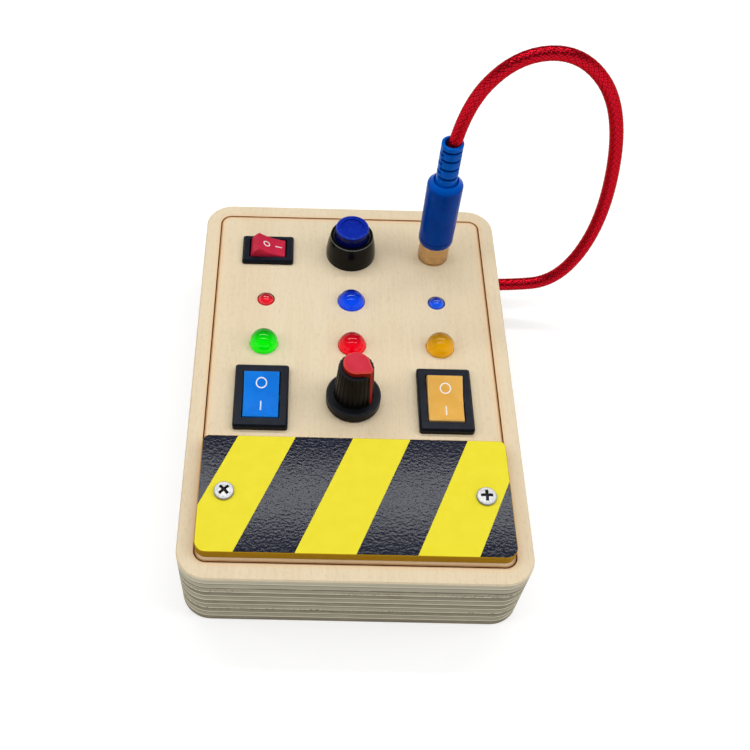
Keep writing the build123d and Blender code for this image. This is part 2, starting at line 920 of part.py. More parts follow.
def knob_pointer():
    """Raised cap whose pointer reaches the rim and runs down the side as a stripe."""
    disc = Circle(pointer_disc_radius)
    tip_x = knob_top_radius + pointer_proud
    wing_angle = math.acos(pointer_disc_radius / (knob_top_radius + pointer_disc_radius))
    wing_x = pointer_disc_radius * math.cos(wing_angle)
    wing_y = pointer_disc_radius * math.sin(wing_angle)
    half_tip = pointer_tip_width / 2
    beak = make_face(
        Polyline((wing_x, wing_y), (tip_x, half_tip), (tip_x, -half_tip), (wing_x, -wing_y), close=True)
    )
    cap_bottom = knob_body_top - pointer_inset
    cap = Pos(0, 0, cap_bottom) * extrude(disc + beak, pointer_top - cap_bottom)
    cap = chamfer(cap.edges().group_by(Axis.Z)[-1], pointer_ease)
    sleeve = turned(
        (knob_base_radius - pointer_stripe_depth, knob_skirt_top),
        (knob_base_radius + pointer_proud, knob_skirt_top),
        (knob_top_radius + pointer_proud, knob_body_top),
        (knob_top_radius - pointer_stripe_depth, knob_body_top),
    )
    slab = brick(knob_skirt_radius, pointer_tip_width, knob_body_top)
    return cap + (sleeve & (Pos(knob_skirt_radius / 2, 0, 0) * slab))


def knob_body():
    """Fluted knob with a broad skirt, hollow underneath for the bushing's nut."""
    blank = turned(
        (0, knob_float),
        (knob_skirt_radius, knob_float),
        (knob_skirt_radius, knob_skirt_top - knob_skirt_ease),
        (knob_skirt_radius - knob_skirt_ease, knob_skirt_top),
        (knob_base_radius, knob_skirt_top),
        (knob_top_radius, knob_body_top - knob_top_ease),
        (knob_top_radius - knob_top_ease, knob_body_top),
        (0, knob_body_top),
    )
    rise = knob_body_top - knob_skirt_top
    taper = math.degrees(math.atan((knob_base_radius - knob_top_radius) / rise))
    middle_radius = (knob_base_radius + knob_top_radius) / 2 + knob_flute_radius - knob_flute_depth
    flute = Rot(0, -taper, 0) * Cylinder(knob_flute_radius, rise)
    flute = Pos(middle_radius, 0, knob_skirt_top + rise / 2 + knob_flute_radius) * flute
    blank -= [Rot(0, 0, 360 * step / knob_flute_count) * flute for step in range(knob_flute_count)]
    recess_radius = pot_nut_flats / math.sqrt(3) + knob_recess_gap
    blank -= rod(recess_radius, 0, pot_bushing_top + knob_recess_gap)
    return blank - rod(pot_shaft_radius, 0, pot_shaft_top)


def knob():
    return Rot(0, 0, pointer_angle) * (knob_body() - knob_pointer())


# Lamps, with the panel's top face at zero


def lamp(size):
    """Domed lens on a flange that seats against the underside of the panel."""
    seat = -panel_thickness
    shoulder = seat + size.height - size.radius
    side = size.radius * math.sqrt(0.5)
    flange_radius = size.radius + size.lip
    outline = [
        Polyline(
            (0, 0, seat + size.height),
            (0, 0, seat - size.flange),
            (flange_radius, 0, seat - size.flange),
            (flange_radius, 0, seat),
            (size.radius, 0, seat),
            (size.radius, 0, shoulder),
        ),
        ThreePointArc(
            (size.radius, 0, shoulder),
            (side, 0, shoulder + side),
            (0, 0, seat + size.height),
        ),
    ]
    edges = [edge for curve in outline for edge in curve.edges()]
    return revolve(make_face(edges), Axis.Z)


def lamp_leads():
    """Two square leads under each lamp."""
    leads = []
    for size, x, y in lamps.values():
        top = -panel_thickness - size.flange
        for side in (-1, 1):
            lead = brick(lead_thickness, lead_thickness, lead_length, top - lead_length)
            leads.append(on_panel(lead, x + side * lead_spacing / 2, y))
    return group(leads)


# Socket, with the panel's top face at zero

jack_nut_bottom = -panel_thickness - jack_lug_thickness - jack_nut_height
jack_shank_bottom = jack_nut_bottom - jack_thread_stub
jack_contact_top = jack_barrel_top - jack_insulator_recess - jack_contact_recess
jack_contact_bottom = -jack_contact_depth - jack_contact_floor


def jack_barrel():
    return turned(
        (jack_shank_bore, jack_shank_bottom),
        (jack_shank_radius, jack_shank_bottom),
        (jack_shank_radius, 0),
        (jack_flange_radius, 0),
        (jack_flange_radius, jack_flange_height),
        (jack_barrel_radius, jack_flange_height),
        (jack_barrel_radius, jack_barrel_top),
        (jack_barrel_bore, jack_barrel_top),
        (jack_barrel_bore, jack_flange_height),
        (jack_shank_bore, jack_flange_height),
    )


def jack_insulator():
    top = jack_barrel_top - jack_insulator_recess
    return turned(
        (jack_tail_radius, jack_shank_bottom),
        (jack_shank_bore, jack_shank_bottom),
        (jack_shank_bore, jack_flange_height),
        (jack_barrel_bore, jack_flange_height),
        (jack_barrel_bore, top),
        (jack_contact_radius, top),
        (jack_contact_radius, jack_contact_bottom),
        (jack_tail_radius, jack_contact_bottom),
    )


def jack_contact():
    """Tube that takes the plug's pin, with a solder tail."""
    bore = plug_pin_radius + plug_fit_gap
    tube = rod(jack_contact_radius, jack_contact_bottom, jack_contact_top)
    tube -= rod(bore, -jack_contact_depth, jack_contact_top + cut_overrun)
    return tube + rod(jack_tail_radius, terminal_tip_z - panel_top, jack_contact_bottom)


def jack_lug():
    """Ground ring with a solder tab, under the panel."""
    bottom = -panel_thickness - jack_lug_thickness
    tab_reach = jack_lug_radius + jack_lug_tab_length
    tab = brick(jack_lug_tab_width, tab_reach, jack_lug_thickness, bottom)
    plate = rod(jack_lug_radius, bottom, -panel_thickness) + Pos(0, -tab_reach / 2, 0) * tab
    return plate - rod(jack_shank_radius + seat_gap, bottom - cut_overrun, 0)


def jack_nut():
    return hexagon_nut(jack_nut_flats, jack_shank_radius + seat_gap, jack_nut_bottom, jack_nut_height)


# Plug, seated on the socket, with the panel's top face at zero

plug_skirt_bore = jack_barrel_radius + plug_fit_gap
plug_skirt_radius = plug_skirt_bore + plug_skirt_wall
plug_web_bottom = jack_barrel_top + plug_web_gap
plug_web_top = plug_web_bottom + plug_web
plug_neck_top = plug_web_top + plug_neck_length


def plug_skirt():
    """Metal skirt that slides over the socket's barrel, with the neck that the shell screws on."""
    bottom = jack_flange_height + plug_skirt_float
    return turned(
        (plug_skirt_bore, bottom),
        (plug_skirt_radius, bottom),
        (plug_skirt_radius, plug_web_top),
        (plug_neck_radius, plug_web_top),
        (plug_neck_radius, plug_neck_top),
        (plug_neck_bore, plug_neck_top),
        (plug_neck_bore, plug_web_bottom),
        (plug_skirt_bore, plug_web_bottom),
    )


def plug_insulator():
    return ring(plug_neck_bore, plug_pin_radius, plug_web_bottom, plug_neck_top)


def plug_pin():
    """Centre pin with a rounded tip, and the tail that meets the cord."""
    pin = rod(plug_pin_radius, -plug_pin_reach, plug_neck_top)
    pin = fillet(pin.edges().group_by(Axis.Z)[0], plug_pin_radius / 2)
    return pin + rod(plug_tail_radius, plug_neck_top, cord_start_above_panel)


def plug_shell():
    """Moulded shell whose strain relief is a tube with slots from two sides in turn."""
    skirt_bore = plug_skirt_radius + seat_gap
    neck_bore = plug_neck_radius + seat_gap
    band_top = shell_bottom + shell_lip_height + shell_band_height
    shoulder_top = shell_shoulder_z + shell_shoulder_height
    slope = shell_shoulder_height / (shell_radius - relief_radius)
    moat_top = shoulder_top - slope * (moat_radius - relief_radius)
    shell = turned(
        (skirt_bore, shell_bottom),
        (shell_lip_radius, shell_bottom),
        (shell_radius, shell_bottom + shell_lip_height),
        (shell_radius, band_top),
        (shell_radius - shell_band_groove, band_top),
        (shell_radius - shell_band_groove, band_top + shell_band_groove),
        (shell_radius, band_top + 2 * shell_band_groove),
        (shell_radius, shell_shoulder_z),
        (moat_radius, moat_top),
        (relief_radius, moat_top - moat_depth),
        (relief_radius, relief_top - relief_ease),
        (relief_radius - relief_ease, relief_top),
        (relief_bore, relief_top),
        (relief_bore, shell_shoulder_z),
        (shell_cavity_radius, shell_shoulder_z - shell_shoulder_height),
        (shell_cavity_radius, plug_neck_top),
        (neck_bore, plug_neck_top),
        (neck_bore, plug_web_top),
        (skirt_bore, plug_web_top),
    )
    slot_pitch = (relief_top - shoulder_top) / (relief_slot_count + 1)
    for step in range(relief_slot_count):
        bottom = shoulder_top + slot_pitch * (step + 1) - relief_slot_height / 2
        slot = brick(relief_slot_width, 2 * (relief_radius + cut_overrun), relief_slot_height, bottom)
        shell -= Rot(0, 0, 90 * (step % 2)) * slot
    return shell


# Cord


def corner_radii(points):
    """Largest arc radius that each inner corner of the route leaves room for."""
    corners = [Vector(*point) for point in points]
    radii = []
    for before, corner, after in zip(corners, corners[1:], corners[2:]):
        turn = (corner - before).get_angle(after - corner)
        run = min((corner - before).length, (after - corner).length)
        radii.append(cord_arc_share * run / math.tan(math.radians(turn / 2)))
    return radii


def cord():
    """Round tube along the route from the plug's tail to the tie inside the wall."""
    radii = corner_radii(cord_route)
    path = FilletPolyline(*cord_route, radius=radii)
    start = Plane(origin=path @ 0, z_dir=path % 0)
    tube = sweep(start * Circle(cord_radius), path)
    print("cord radii", [round(radius, 1) for radius in radii])
    print("cord length", round(path.length, 1))
    section = math.pi * cord_radius**2
    print("cord volume", round(tube.volume, 1), "section times length", round(section * path.length, 1))
    return tube


def cord_tie():
    """Tie round the cord that stops it against the inside of the wall."""
    collar = Rot(0, 90, 0) * ring(tie_radius, cord_radius + seat_gap, 0, tie_width)
    return Pos(cord_end_x, cord_exit_y, cord_exit_z) * collar


def rocker_nodes():
    """The four pieces of each rocker switch, at their places."""
    pieces = {
        "housing": rocker_housing,
        "paddle": rocker_paddle,
        "blade": rocker_blade,
        "terminals": rocker_terminals,
    }
    nodes = {}
    for rocker in rockers:
        for piece, build in pieces.items():
            shape = Rot(0, 0, rocker.turn) * build(rocker.size)
            nodes[f"{rocker.name}_{piece}"] = on_panel(shape, rocker.x, rocker.y)
    return nodes


def panel_nodes():
    """Button, potentiometer, knob, socket and plug, at their places."""
    places = {
        (0, top_row_y): {
            "button_collar": button_collar(),
            "button_cap": button_cap(),
            "button_stem": button_stem(),
            "button_spring": button_spring(),
            "button_contact": button_contact(),
            "button_base": button_base(),
            "button_terminals": button_terminals(),
            "button_washer": button_washer(),
            "button_nut": button_nut(),
        },
        (0, lower_row_y): {
            "pot_bushing": pot_bushing(),
            "pot_wafer": pot_wafer(),
            "pot_lugs": pot_lugs(),
            "pot_can": pot_can(),
            "pot_wiper": pot_wiper(),
            "pot_shaft": pot_shaft(),
            "pot_washer": pot_washer(),
            "pot_nut": pot_nut(),
            "knob": knob(),
            "knob_pointer": Rot(0, 0, pointer_angle) * knob_pointer(),
        },
        (jack_x, top_row_y): {
            "jack_barrel": jack_barrel(),
            "jack_insulator": jack_insulator(),
            "jack_contact": jack_contact(),
            "jack_lug": jack_lug(),
            "jack_nut": jack_nut(),
            "plug_skirt": plug_skirt(),
            "plug_insulator": plug_insulator(),
            "plug_pin": plug_pin(),
            "plug_shell": plug_shell(),
        },
    }
    nodes = {}
    for (x, y), shapes in places.items():
        for name, shape in shapes.items():
            nodes[name] = on_panel(shape, x, y)
    return nodes


def all_nodes():
    nodes = {
        "base_plate": base_plate(),
        "body_frame": body_frame(),
        "top_rim": top_rim(),
        "control_panel": control_panel(),
        "battery_cover": battery_cover(),
        "cover_screws": cover_screws(),
        "battery_tray": battery_tray(),
        "battery_cells": battery_cells(),
        "battery_contacts": battery_contacts(),
        "battery_springs": battery_springs(),
        "lamp_leads": lamp_leads(),
        "cord": cord(),
        "cord_tie": cord_tie(),
    }
    nodes.update(rocker_nodes())
    nodes.update(panel_nodes())
    for name, (size, x, y) in lamps.items():
        nodes[name] = on_panel(lamp(size), x, y)
    return nodes


def main():
    os.makedirs("parts", exist_ok=True)
    for name, shape in all_nodes().items():
        export_step(shape, f"parts/{name}.step")


if __name__ == "__main__":
    main()
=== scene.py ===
import logging
import math
from dataclasses import dataclass
from enum import Enum
from functools import cached_property
from typing import Any, Callable, Dict, List, Optional, Sequence, Tuple, Union

import bpy
from bpy.types import Material, Mesh, NodeSocket, Object, World
from mathutils import Matrix, Vector


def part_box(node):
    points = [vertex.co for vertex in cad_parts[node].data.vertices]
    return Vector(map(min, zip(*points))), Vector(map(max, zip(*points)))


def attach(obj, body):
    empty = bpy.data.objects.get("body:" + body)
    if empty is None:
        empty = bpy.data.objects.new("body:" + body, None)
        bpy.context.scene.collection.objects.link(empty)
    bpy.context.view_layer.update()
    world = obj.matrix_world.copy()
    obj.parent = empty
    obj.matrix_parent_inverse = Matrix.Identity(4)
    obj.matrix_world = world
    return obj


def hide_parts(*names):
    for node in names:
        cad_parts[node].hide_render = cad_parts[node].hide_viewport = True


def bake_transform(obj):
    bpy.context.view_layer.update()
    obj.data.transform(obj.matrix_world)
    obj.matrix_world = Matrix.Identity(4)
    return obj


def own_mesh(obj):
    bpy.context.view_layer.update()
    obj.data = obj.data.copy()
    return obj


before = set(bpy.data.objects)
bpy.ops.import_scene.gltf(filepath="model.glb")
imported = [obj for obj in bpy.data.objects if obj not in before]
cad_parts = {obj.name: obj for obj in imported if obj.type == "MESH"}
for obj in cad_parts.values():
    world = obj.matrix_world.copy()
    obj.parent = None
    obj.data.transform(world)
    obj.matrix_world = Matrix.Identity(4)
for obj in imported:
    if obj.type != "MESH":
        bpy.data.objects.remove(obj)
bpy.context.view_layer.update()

# Looks of a small wooden busy board.
# The frame is in metres, and sizes here are in millimetres unless they say so.

LOG = logging.getLogger("busy_board")
MM = 0.001

Colour = Tuple[float, float, float]
Triple = Tuple[float, float, float]
Feed = Union["Signal", float, Sequence[float]]

WHITE: Colour = (1.0, 1.0, 1.0)
UNLIT: Colour = (0.0, 0.0, 0.0)


def math_operator(operation: str, swapped: bool = False) -> Callable[..., "Signal"]:
    """Make an operator on signals from a Math node.

    Args:
        operation: The node's operation.
        swapped: Whether the signal comes last, as it does after a plain number.

    Returns:
        The operator.
    """

    def apply(signal: "Signal", *others: Feed) -> "Signal":
        """Add the node and take its value."""
        values = (*others, signal) if swapped else (signal, *others)
        return signal.sheet.add("ShaderNodeMath", {"operation": operation}, dict(enumerate(values)))

    return apply


@dataclass(frozen=True, eq=False)
class Signal:
    """A node's output socket, for arithmetic. Its & takes the smaller value and its | the larger."""

    sheet: "ShaderSheet"
    socket: NodeSocket

    __add__ = math_operator("ADD")
    __radd__ = math_operator("ADD", swapped=True)
    __sub__ = math_operator("SUBTRACT")
    __rsub__ = math_operator("SUBTRACT", swapped=True)
    __mul__ = math_operator("MULTIPLY")
    __truediv__ = math_operator("DIVIDE")
    __abs__ = math_operator("ABSOLUTE")
    __lt__ = math_operator("LESS_THAN")
    __gt__ = math_operator("GREATER_THAN")
    __and__ = math_operator("MINIMUM")
    __or__ = math_operator("MAXIMUM")
    root = math_operator("SQRT")
    fraction = math_operator("FRACT")

    def __invert__(self) -> "Signal":
        """Mask turned round."""
        return 1.0 - self

    def ramp(self, low: float, high: float) -> "Signal":
        """Smooth step.

        Args:
            low: Value that gives zero.
            high: Value that gives one.

        Returns:
            The stepped value.
        """
        ends = {"Value": self, "From Min": low, "From Max": high}
        return self.sheet.add("ShaderNodeMapRange", {"interpolation_type": "SMOOTHSTEP"}, ends)


class ShaderSheet:
    """The node sheet of a material or the world, written as expressions on millimetres."""

    def __init__(self, owner: Union[Material, World]) -> None:
        """Empty the owner's node tree.

        Args:
            owner: The material or world.
        """
        owner.use_nodes = True
        self.owner = owner
        self.tree = owner.node_tree
        self.tree.nodes.clear()

    @classmethod
    def named(cls, name: str) -> "ShaderSheet":
        """Start a new material."""
        return cls(bpy.data.materials.new(name))

    @cached_property
    def point(self) -> Signal:
        """Place in the part's own frame, in metres."""
        return self.add("ShaderNodeTexCoord", output="Object")

    @cached_property
    def places(self) -> List[Signal]:
        """Place along X, Y and Z, in millimetres."""
        return [part * (1 / MM) for part in self.parts(self.point)]

    @cached_property
    def facing(self) -> List[Signal]:
        """Surface direction along X, Y and Z."""
        return self.parts(self.add("ShaderNodeTexCoord", output="Normal"))

    @property
    def x(self) -> Signal:
        """Place along X."""
        return self.places[0]

    @property
    def y(self) -> Signal:
        """Place along Y."""
        return self.places[1]

    @property
    def z(self) -> Signal:
        """Height."""
        return self.places[2]

    @property
    def up(self) -> Signal:
        """How far the surface faces upwards."""
        return self.facing[2]

    def add(
        self,
        kind: str,
        settings: Optional[Dict[str, Any]] = None,
        sockets: Optional[Dict[Union[int, str], Feed]] = None,
        output: Union[int, str] = 0,
    ) -> Signal:
        """Add a node and take one of its outputs.

        Args:
            kind: The node's type.
            settings: Properties, which are set first.
            sockets: Values or links by socket name, identifier or place.
            output: The output that is wanted.

        Returns:
            That output.
        """
        node = self.tree.nodes.new(kind)
        for name, value in (settings or {}).items():
            setattr(node, name, value)
        for key, value in (sockets or {}).items():
            self.feed(self.find(node.inputs, key), value)
        return Signal(self, self.find(node.outputs, output))

    def close(self, kind: str, surface: Signal) -> None:
        """Join a shader to the output node of that kind."""
        self.feed(self.tree.nodes.new(kind).inputs["Surface"], surface)

    @staticmethod
    def find(sockets: Sequence[NodeSocket], key: Union[int, str]) -> NodeSocket:
        """Look a socket up.

        Args:
            sockets: The node's inputs or outputs.
            key: The socket's place, identifier or name.

        Returns:
            The socket.
        """
        if isinstance(key, int):
            return sockets[key]
        return next((socket for socket in sockets if socket.identifier == key), None) or sockets[key]

    def feed(self, socket: NodeSocket, value: Feed) -> None:
        """Link a signal to a socket, or set its value.

        Args:
            socket: The input socket.
            value: The signal, number, vector or colour.
        """
        if isinstance(value, Signal):
            self.tree.links.new(value.socket, socket)
        elif socket.type == "RGBA":
            socket.default_value = (*value, 1.0)
        else:
            socket.default_value = value

    def parts(self, vector: Signal) -> List[Signal]:
        """Split a vector into its three numbers."""
        return [self.add("ShaderNodeSeparateXYZ", None, {0: vector}, axis) for axis in range(3)]

    def noise(self, frequency: Triple, detail: float = 3.0, shift: float = 0.0) -> Signal:
        """Add noise that may be stretched.

        Args:
            frequency: Cycles for each millimetre along X, Y and Z.
            detail: Octaves.
            shift: Offset that gives another pattern.

        Returns:
            The noise, about one half on average.
        """
        scale = [cycles / MM for cycles in frequency]
        sockets = {0: self.point, 1: scale, 2: (shift,) * 3}
        place = self.add("ShaderNodeVectorMath", {"operation": "MULTIPLY_ADD"}, sockets)
        return self.add("ShaderNodeTexNoise", None, {"Vector": place, "Scale": 1.0, "Detail": detail})

    def cells(self, frequency: float, feature: str = "F1") -> Signal:
        """Add a pattern of cells.

        Args:
            frequency: Cells for each millimetre.
            feature: The Voronoi feature.

        Returns:
            Distance within a cell.
        """
        sockets = {"Vector": self.point, "Scale": frequency / MM}
        return self.add("ShaderNodeTexVoronoi", {"feature": feature}, sockets, "Distance")

    def mix(self, factor: Feed, first: Feed, second: Feed) -> Signal:
        """Mix two colours.

        Args:
            factor: Share of the second colour.
            first: Colour at zero.
            second: Colour at one.

        Returns:
            The mixed colour.
        """
        sockets = {"Factor_Float": factor, "A_Color": first, "B_Color": second}
        return self.add("ShaderNodeMix", {"data_type": "RGBA"}, sockets, "Result_Color")

    def bump(self, height: Signal, depth: float) -> Signal:
        """Turn a height into a normal.

        Args:
            height: Height from zero to one.
            depth: Depth of one unit.

        Returns:
            The normal.
        """
        return self.add("ShaderNodeBump", None, {"Strength": 1.0, "Distance": depth * MM, "Height": height})

    def seen(self) -> Signal:
        """Tell apart the rays that see the backdrop as white.

        Returns:
            One for rays from the camera, a reflection or a clear body, else zero.
        """
        kinds = ("Is Camera Ray", "Is Glossy Ray", "Is Transmission Ray")
        camera, glossy, clear = [self.add("ShaderNodeLightPath", output=kind) for kind in kinds]
        return camera | glossy | clear

    def finish(self, **sockets: Feed) -> Material:
        """Close the sheet with one principled surface.

        Args:
            sockets: The shader's sockets, with underscores for spaces.

        Returns:
            The material.
        """
        named = {name.replace("_", " "): value for name, value in sockets.items()}
        surface = self.add("ShaderNodeBsdfPrincipled", None, named)
        self.close("ShaderNodeOutputMaterial", surface)
        return self.owner


def node_box(node: str) -> Tuple[Vector, Vector]:
    """Centre and size of a CAD node.

    Args:
        node: The node's name.

    Returns:
        Centre and size, in millimetres.
    """
    low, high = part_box(node)
    return (low + high) / 2 / MM, (high - low) / MM


def top_of(node: str) -> float:
    """Height of a CAD node's top, in millimetres."""
    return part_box(node)[1].z / MM


def dress(material: Material, *nodes: str) -> None:
    """Give CAD nodes a material.

    Args:
        material: The finish.
        nodes: Names of the nodes that get it.
    """
    for node in nodes:
        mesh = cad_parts[node].data
        mesh.materials.clear()
        mesh.materials.append(material)
        LOG.info("%s wears %s", node, material.name)


def tube_faces(rings: int, sides: int, hollow: bool = False) -> List[Tuple[int, ...]]:
    """Join rings of vertices into a closed skin.

    Args:
        rings: How many rings there are.
        sides: How many vertices each ring has.
        hollow: Whether the last ring joins the first, in place of a cap at each end.

    Returns:
        The faces.
    """
    faces: List[Tuple[int, ...]] = []
    for ring in range(rings if hollow else rings - 1):
        low, high = ring * sides, (ring + 1) % rings * sides
        for step in range(sides):
            following = (step + 1) % sides
            faces.append((low + step, low + following, high + following, high + step))
    if not hollow:
        faces.append(tuple(reversed(range(sides))))
        faces.append(tuple(range((rings - 1) * sides, rings * sides)))
    return faces


def new_piece(name: str, mesh: Mesh, material: Material, node: str) -> Object:
    """Put a new piece in a CAD node's place.

    Args:
        name: The piece's name.
        mesh: Its mesh, in metres.
        material: Its finish.
        node: The node that it stands for.

    Returns:
        The piece.
    """
    mesh.shade_smooth()
    mesh.materials.append(material)
    piece = bpy.data.objects.new(name, mesh)
    bpy.context.scene.collection.objects.link(piece)
    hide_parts(node)
    LOG.info("%s stands for %s", name, node)
    return piece


@dataclass(frozen=True)
class WireCoil:
    """Spring wire wound straight or tapering, with an end turn that lies nearly flat."""

    foot: Vector
    tip: Vector
    foot_radius: float
    tip_radius: float
    wire: float
    turns: int
    flat: float = 0.75
    steps: int = 30
    sides: int = 10

    def rings(self) -> List[Vector]:
        """Sweep the wire's round section along the coil.

        Returns:
            The vertices, ring by ring, in metres.
        """
        length = (self.tip - self.foot).length
        axis = (self.tip - self.foot) / length
        ahead = axis.orthogonal().normalized()
        aside = axis.cross(ahead)
        vertices: List[Vector] = []
        for ring in range(self.turns * self.steps + 1):
            turn = ring / self.steps
            share = min(max((turn - self.flat) / (self.turns - 2 * self.flat), 0.0), 1.0)
            angle = 2 * math.pi * turn
            out = ahead * math.cos(angle) + aside * math.sin(angle)
            reach = self.foot_radius + (self.tip_radius - self.foot_radius) * share - self.wire / 2
            centre = self.foot + axis * (self.wire / 2 + (length - self.wire) * share) + out * reach
            for side in range(self.sides):
                angle = 2 * math.pi * side / self.sides
                around = out * math.cos(angle) - axis * math.sin(angle)
                vertices.append((centre + around * self.wire / 2) * MM)
        return vertices

    def mesh(self, name: str) -> Mesh:
        """Make the coil's mesh.

        Args:
            name: The mesh's name.

        Returns:
            The mesh.
        """
        mesh = bpy.data.meshes.new(name)
        mesh.from_pydata(self.rings(), [], tube_faces(self.turns * self.steps + 1, self.sides))
        return mesh


class Cut(Enum):
    """How the upright faces of a plywood sheet were made."""

    SANDED = "sanded"
    BURNT = "burnt"
    RIM = "sanded outside and burnt inside"


@dataclass(frozen=True)
class Plywood:
    """Pale plywood with grain on its faces, layers on its edges and brown laser cuts."""

    name: str
    cut: Cut
    panel_half: Tuple[float, float]
    panel_corner: float
    joints: Tuple[float, ...]
    ply: float = 2.5
    pit_rows: Tuple[float, ...] = (18.3, 7.3)
    pale: Colour = (0.81, 0.69, 0.49)
    tan: Colour = (0.73, 0.58, 0.38)
    fleck: Colour = (0.55, 0.40, 0.22)
    warm: Colour = (0.84, 0.55, 0.29)
    edge_pale: Colour = (0.62, 0.56, 0.41)
    edge_dark: Colour = (0.31, 0.27, 0.18)
    edge_line: Colour = (0.97, 0.92, 0.72)
    # Colour of glue lines, pits and joints, and of the painted shade along the bottom.
    glue_and_shade: Colour = (0.15, 0.115, 0.08)
    burnt: Colour = (0.40, 0.17, 0.045)
    scorched: Colour = (0.22, 0.08, 0.02)
    halo: float = 0.55
    broad_share: float = 0.34
    fibre_share: float = 0.26
    line_share: float = 0.12
    fleck_share: float = 0.22
    ring_count: float = 9.0
    wave: float = 0.4
    rim_width: float = 2.0
    lift: float = 0.0
    seed: float = 0.0

    def kerf_distance(self, sheet: ShaderSheet) -> Signal:
        """Measure from the panel's outline.

        Args:
            sheet: The node sheet.

        Returns:
            The distance, negative inside the outline.
        """
        reach_x = (abs(sheet.x) - (self.panel_half[0] - self.panel_corner)) | 0.0
        reach_y = (abs(sheet.y) - (self.panel_half[1] - self.panel_corner)) | 0.0
        return (reach_x * reach_x + reach_y * reach_y).root() - self.panel_corner

    def face_colour(self, sheet: ShaderSheet) -> Signal:
        """Draw the grain that runs along the length, with short flecks.

        Args:
            sheet: The node sheet.

        Returns:
            The colour.
        """
        broad = sheet.noise((0.11, 0.006, 0.11), 2.0, self.seed)
        fibre = sheet.noise((2.2, 0.05, 2.2), 4.0, self.seed + 5.0)
        fleck = sheet.noise((1.9, 0.75, 1.9), 3.0, self.seed + 9.0).ramp(0.50, 0.74)
        ring = (sheet.noise((0.2, 0.012, 0.2), 1.0, self.seed + 2.0) * self.ring_count).fraction()
        line = ring.ramp(0.0, 0.5) & ~ring.ramp(0.82, 1.0)
        share = broad.ramp(0.3, 0.75) * self.broad_share + fibre.ramp(0.35, 0.75) * self.fibre_share
        share = share + line * self.line_share
        return sheet.mix(fleck * self.fleck_share, sheet.mix(share, self.pale, self.tan), self.fleck)

    def edge_colour(self, sheet: ShaderSheet) -> Signal:
        """Draw layers of veneer in two tones, with glue lines, rows of pits, dark joints and painted shade
        along the bottom.

        Args:
            sheet: The node sheet.

        Returns:
            The colour.
        """
        wave = sheet.noise((0.02, 0.02, 0.1), 2.0, self.seed + 3.0) * self.wave - self.wave / 2
        place = (sheet.z + wave) / self.ply
        across = place.fraction()
        turned = (place / 2.0).fraction() < 0.5
        streak = sheet.noise((0.05, 0.05, 2.2), 4.0, self.seed + 7.0).ramp(0.3, 0.7)
        blotch = sheet.noise((0.22, 0.22, 0.5), 3.0, self.seed + 17.0).ramp(0.35, 0.7)
        veneer = sheet.mix(turned * 0.5 + streak * 0.4 + blotch * 0.2, self.edge_pale, self.edge_dark)
        veneer = sheet.mix(~across.ramp(0.12, 0.26) * 0.95, veneer, self.edge_line)
        veneer = sheet.mix(self.lift, veneer, self.edge_line)
        marks = across.ramp(0.76, 0.92) * 0.7
        pits = sheet.noise((1.1, 1.1, 1.5), 3.0, self.seed + 1.0).ramp(0.50, 0.62)
        for height in self.pit_rows:
            stretch = sheet.noise((0.03, 0.03, 0.0), 1.0, height + 0.5).ramp(0.42, 0.55)
            marks = marks | ~abs(sheet.z - height).ramp(0.3, 1.1) * pits * stretch * 0.85
        for height in self.joints:
            broken = sheet.noise((0.16, 0.16, 0.0), 3.0, height).ramp(0.3, 0.55)
            marks = marks | ~abs(sheet.z - height).ramp(0.15, 0.5) * (0.55 + broken * 0.45)
        # Painted shade along the bottom, next to the floor.
        marks = marks | ~sheet.z.ramp(0.9, 2.0) * 0.45
        return sheet.mix(marks * 0.9, veneer, self.glue_and_shade)

    def material(self) -> Material:
        """Write the finish.

        Returns:
            The material.
        """
        sheet = ShaderSheet.named(self.name)
        distance = self.kerf_distance(sheet)
        upright = ~abs(sheet.up).ramp(0.35, 0.75)
        char = sheet.noise((0.35, 0.35, 0.9), 3.0, 4.0)
        brown = sheet.mix(char, self.burnt, self.scorched)
        edge = self.edge_colour(sheet)
        if self.cut is Cut.BURNT:
            edge = brown
        elif self.cut is Cut.RIM:
            edge = sheet.mix(distance < self.rim_width, edge, brown)
        warm = ~abs(distance).ramp(0.3, 1.9) * 0.5
        face = sheet.mix(warm, self.face_colour(sheet), self.warm)
        near = ~abs(distance).ramp(0.15, self.halo)
        face = sheet.mix(near * (0.65 + char * 0.35), face, self.burnt)
        fibre = sheet.noise((3.5, 0.12, 3.5), 3.0, self.seed + 11.0)
        return sheet.finish(
            Base_Color=sheet.mix(upright, face, edge),
            Roughness=0.52 + fibre * 0.16 + upright * 0.16,
            Normal=sheet.bump(fibre, 0.02),
            Specular_IOR_Level=0.25,
        )


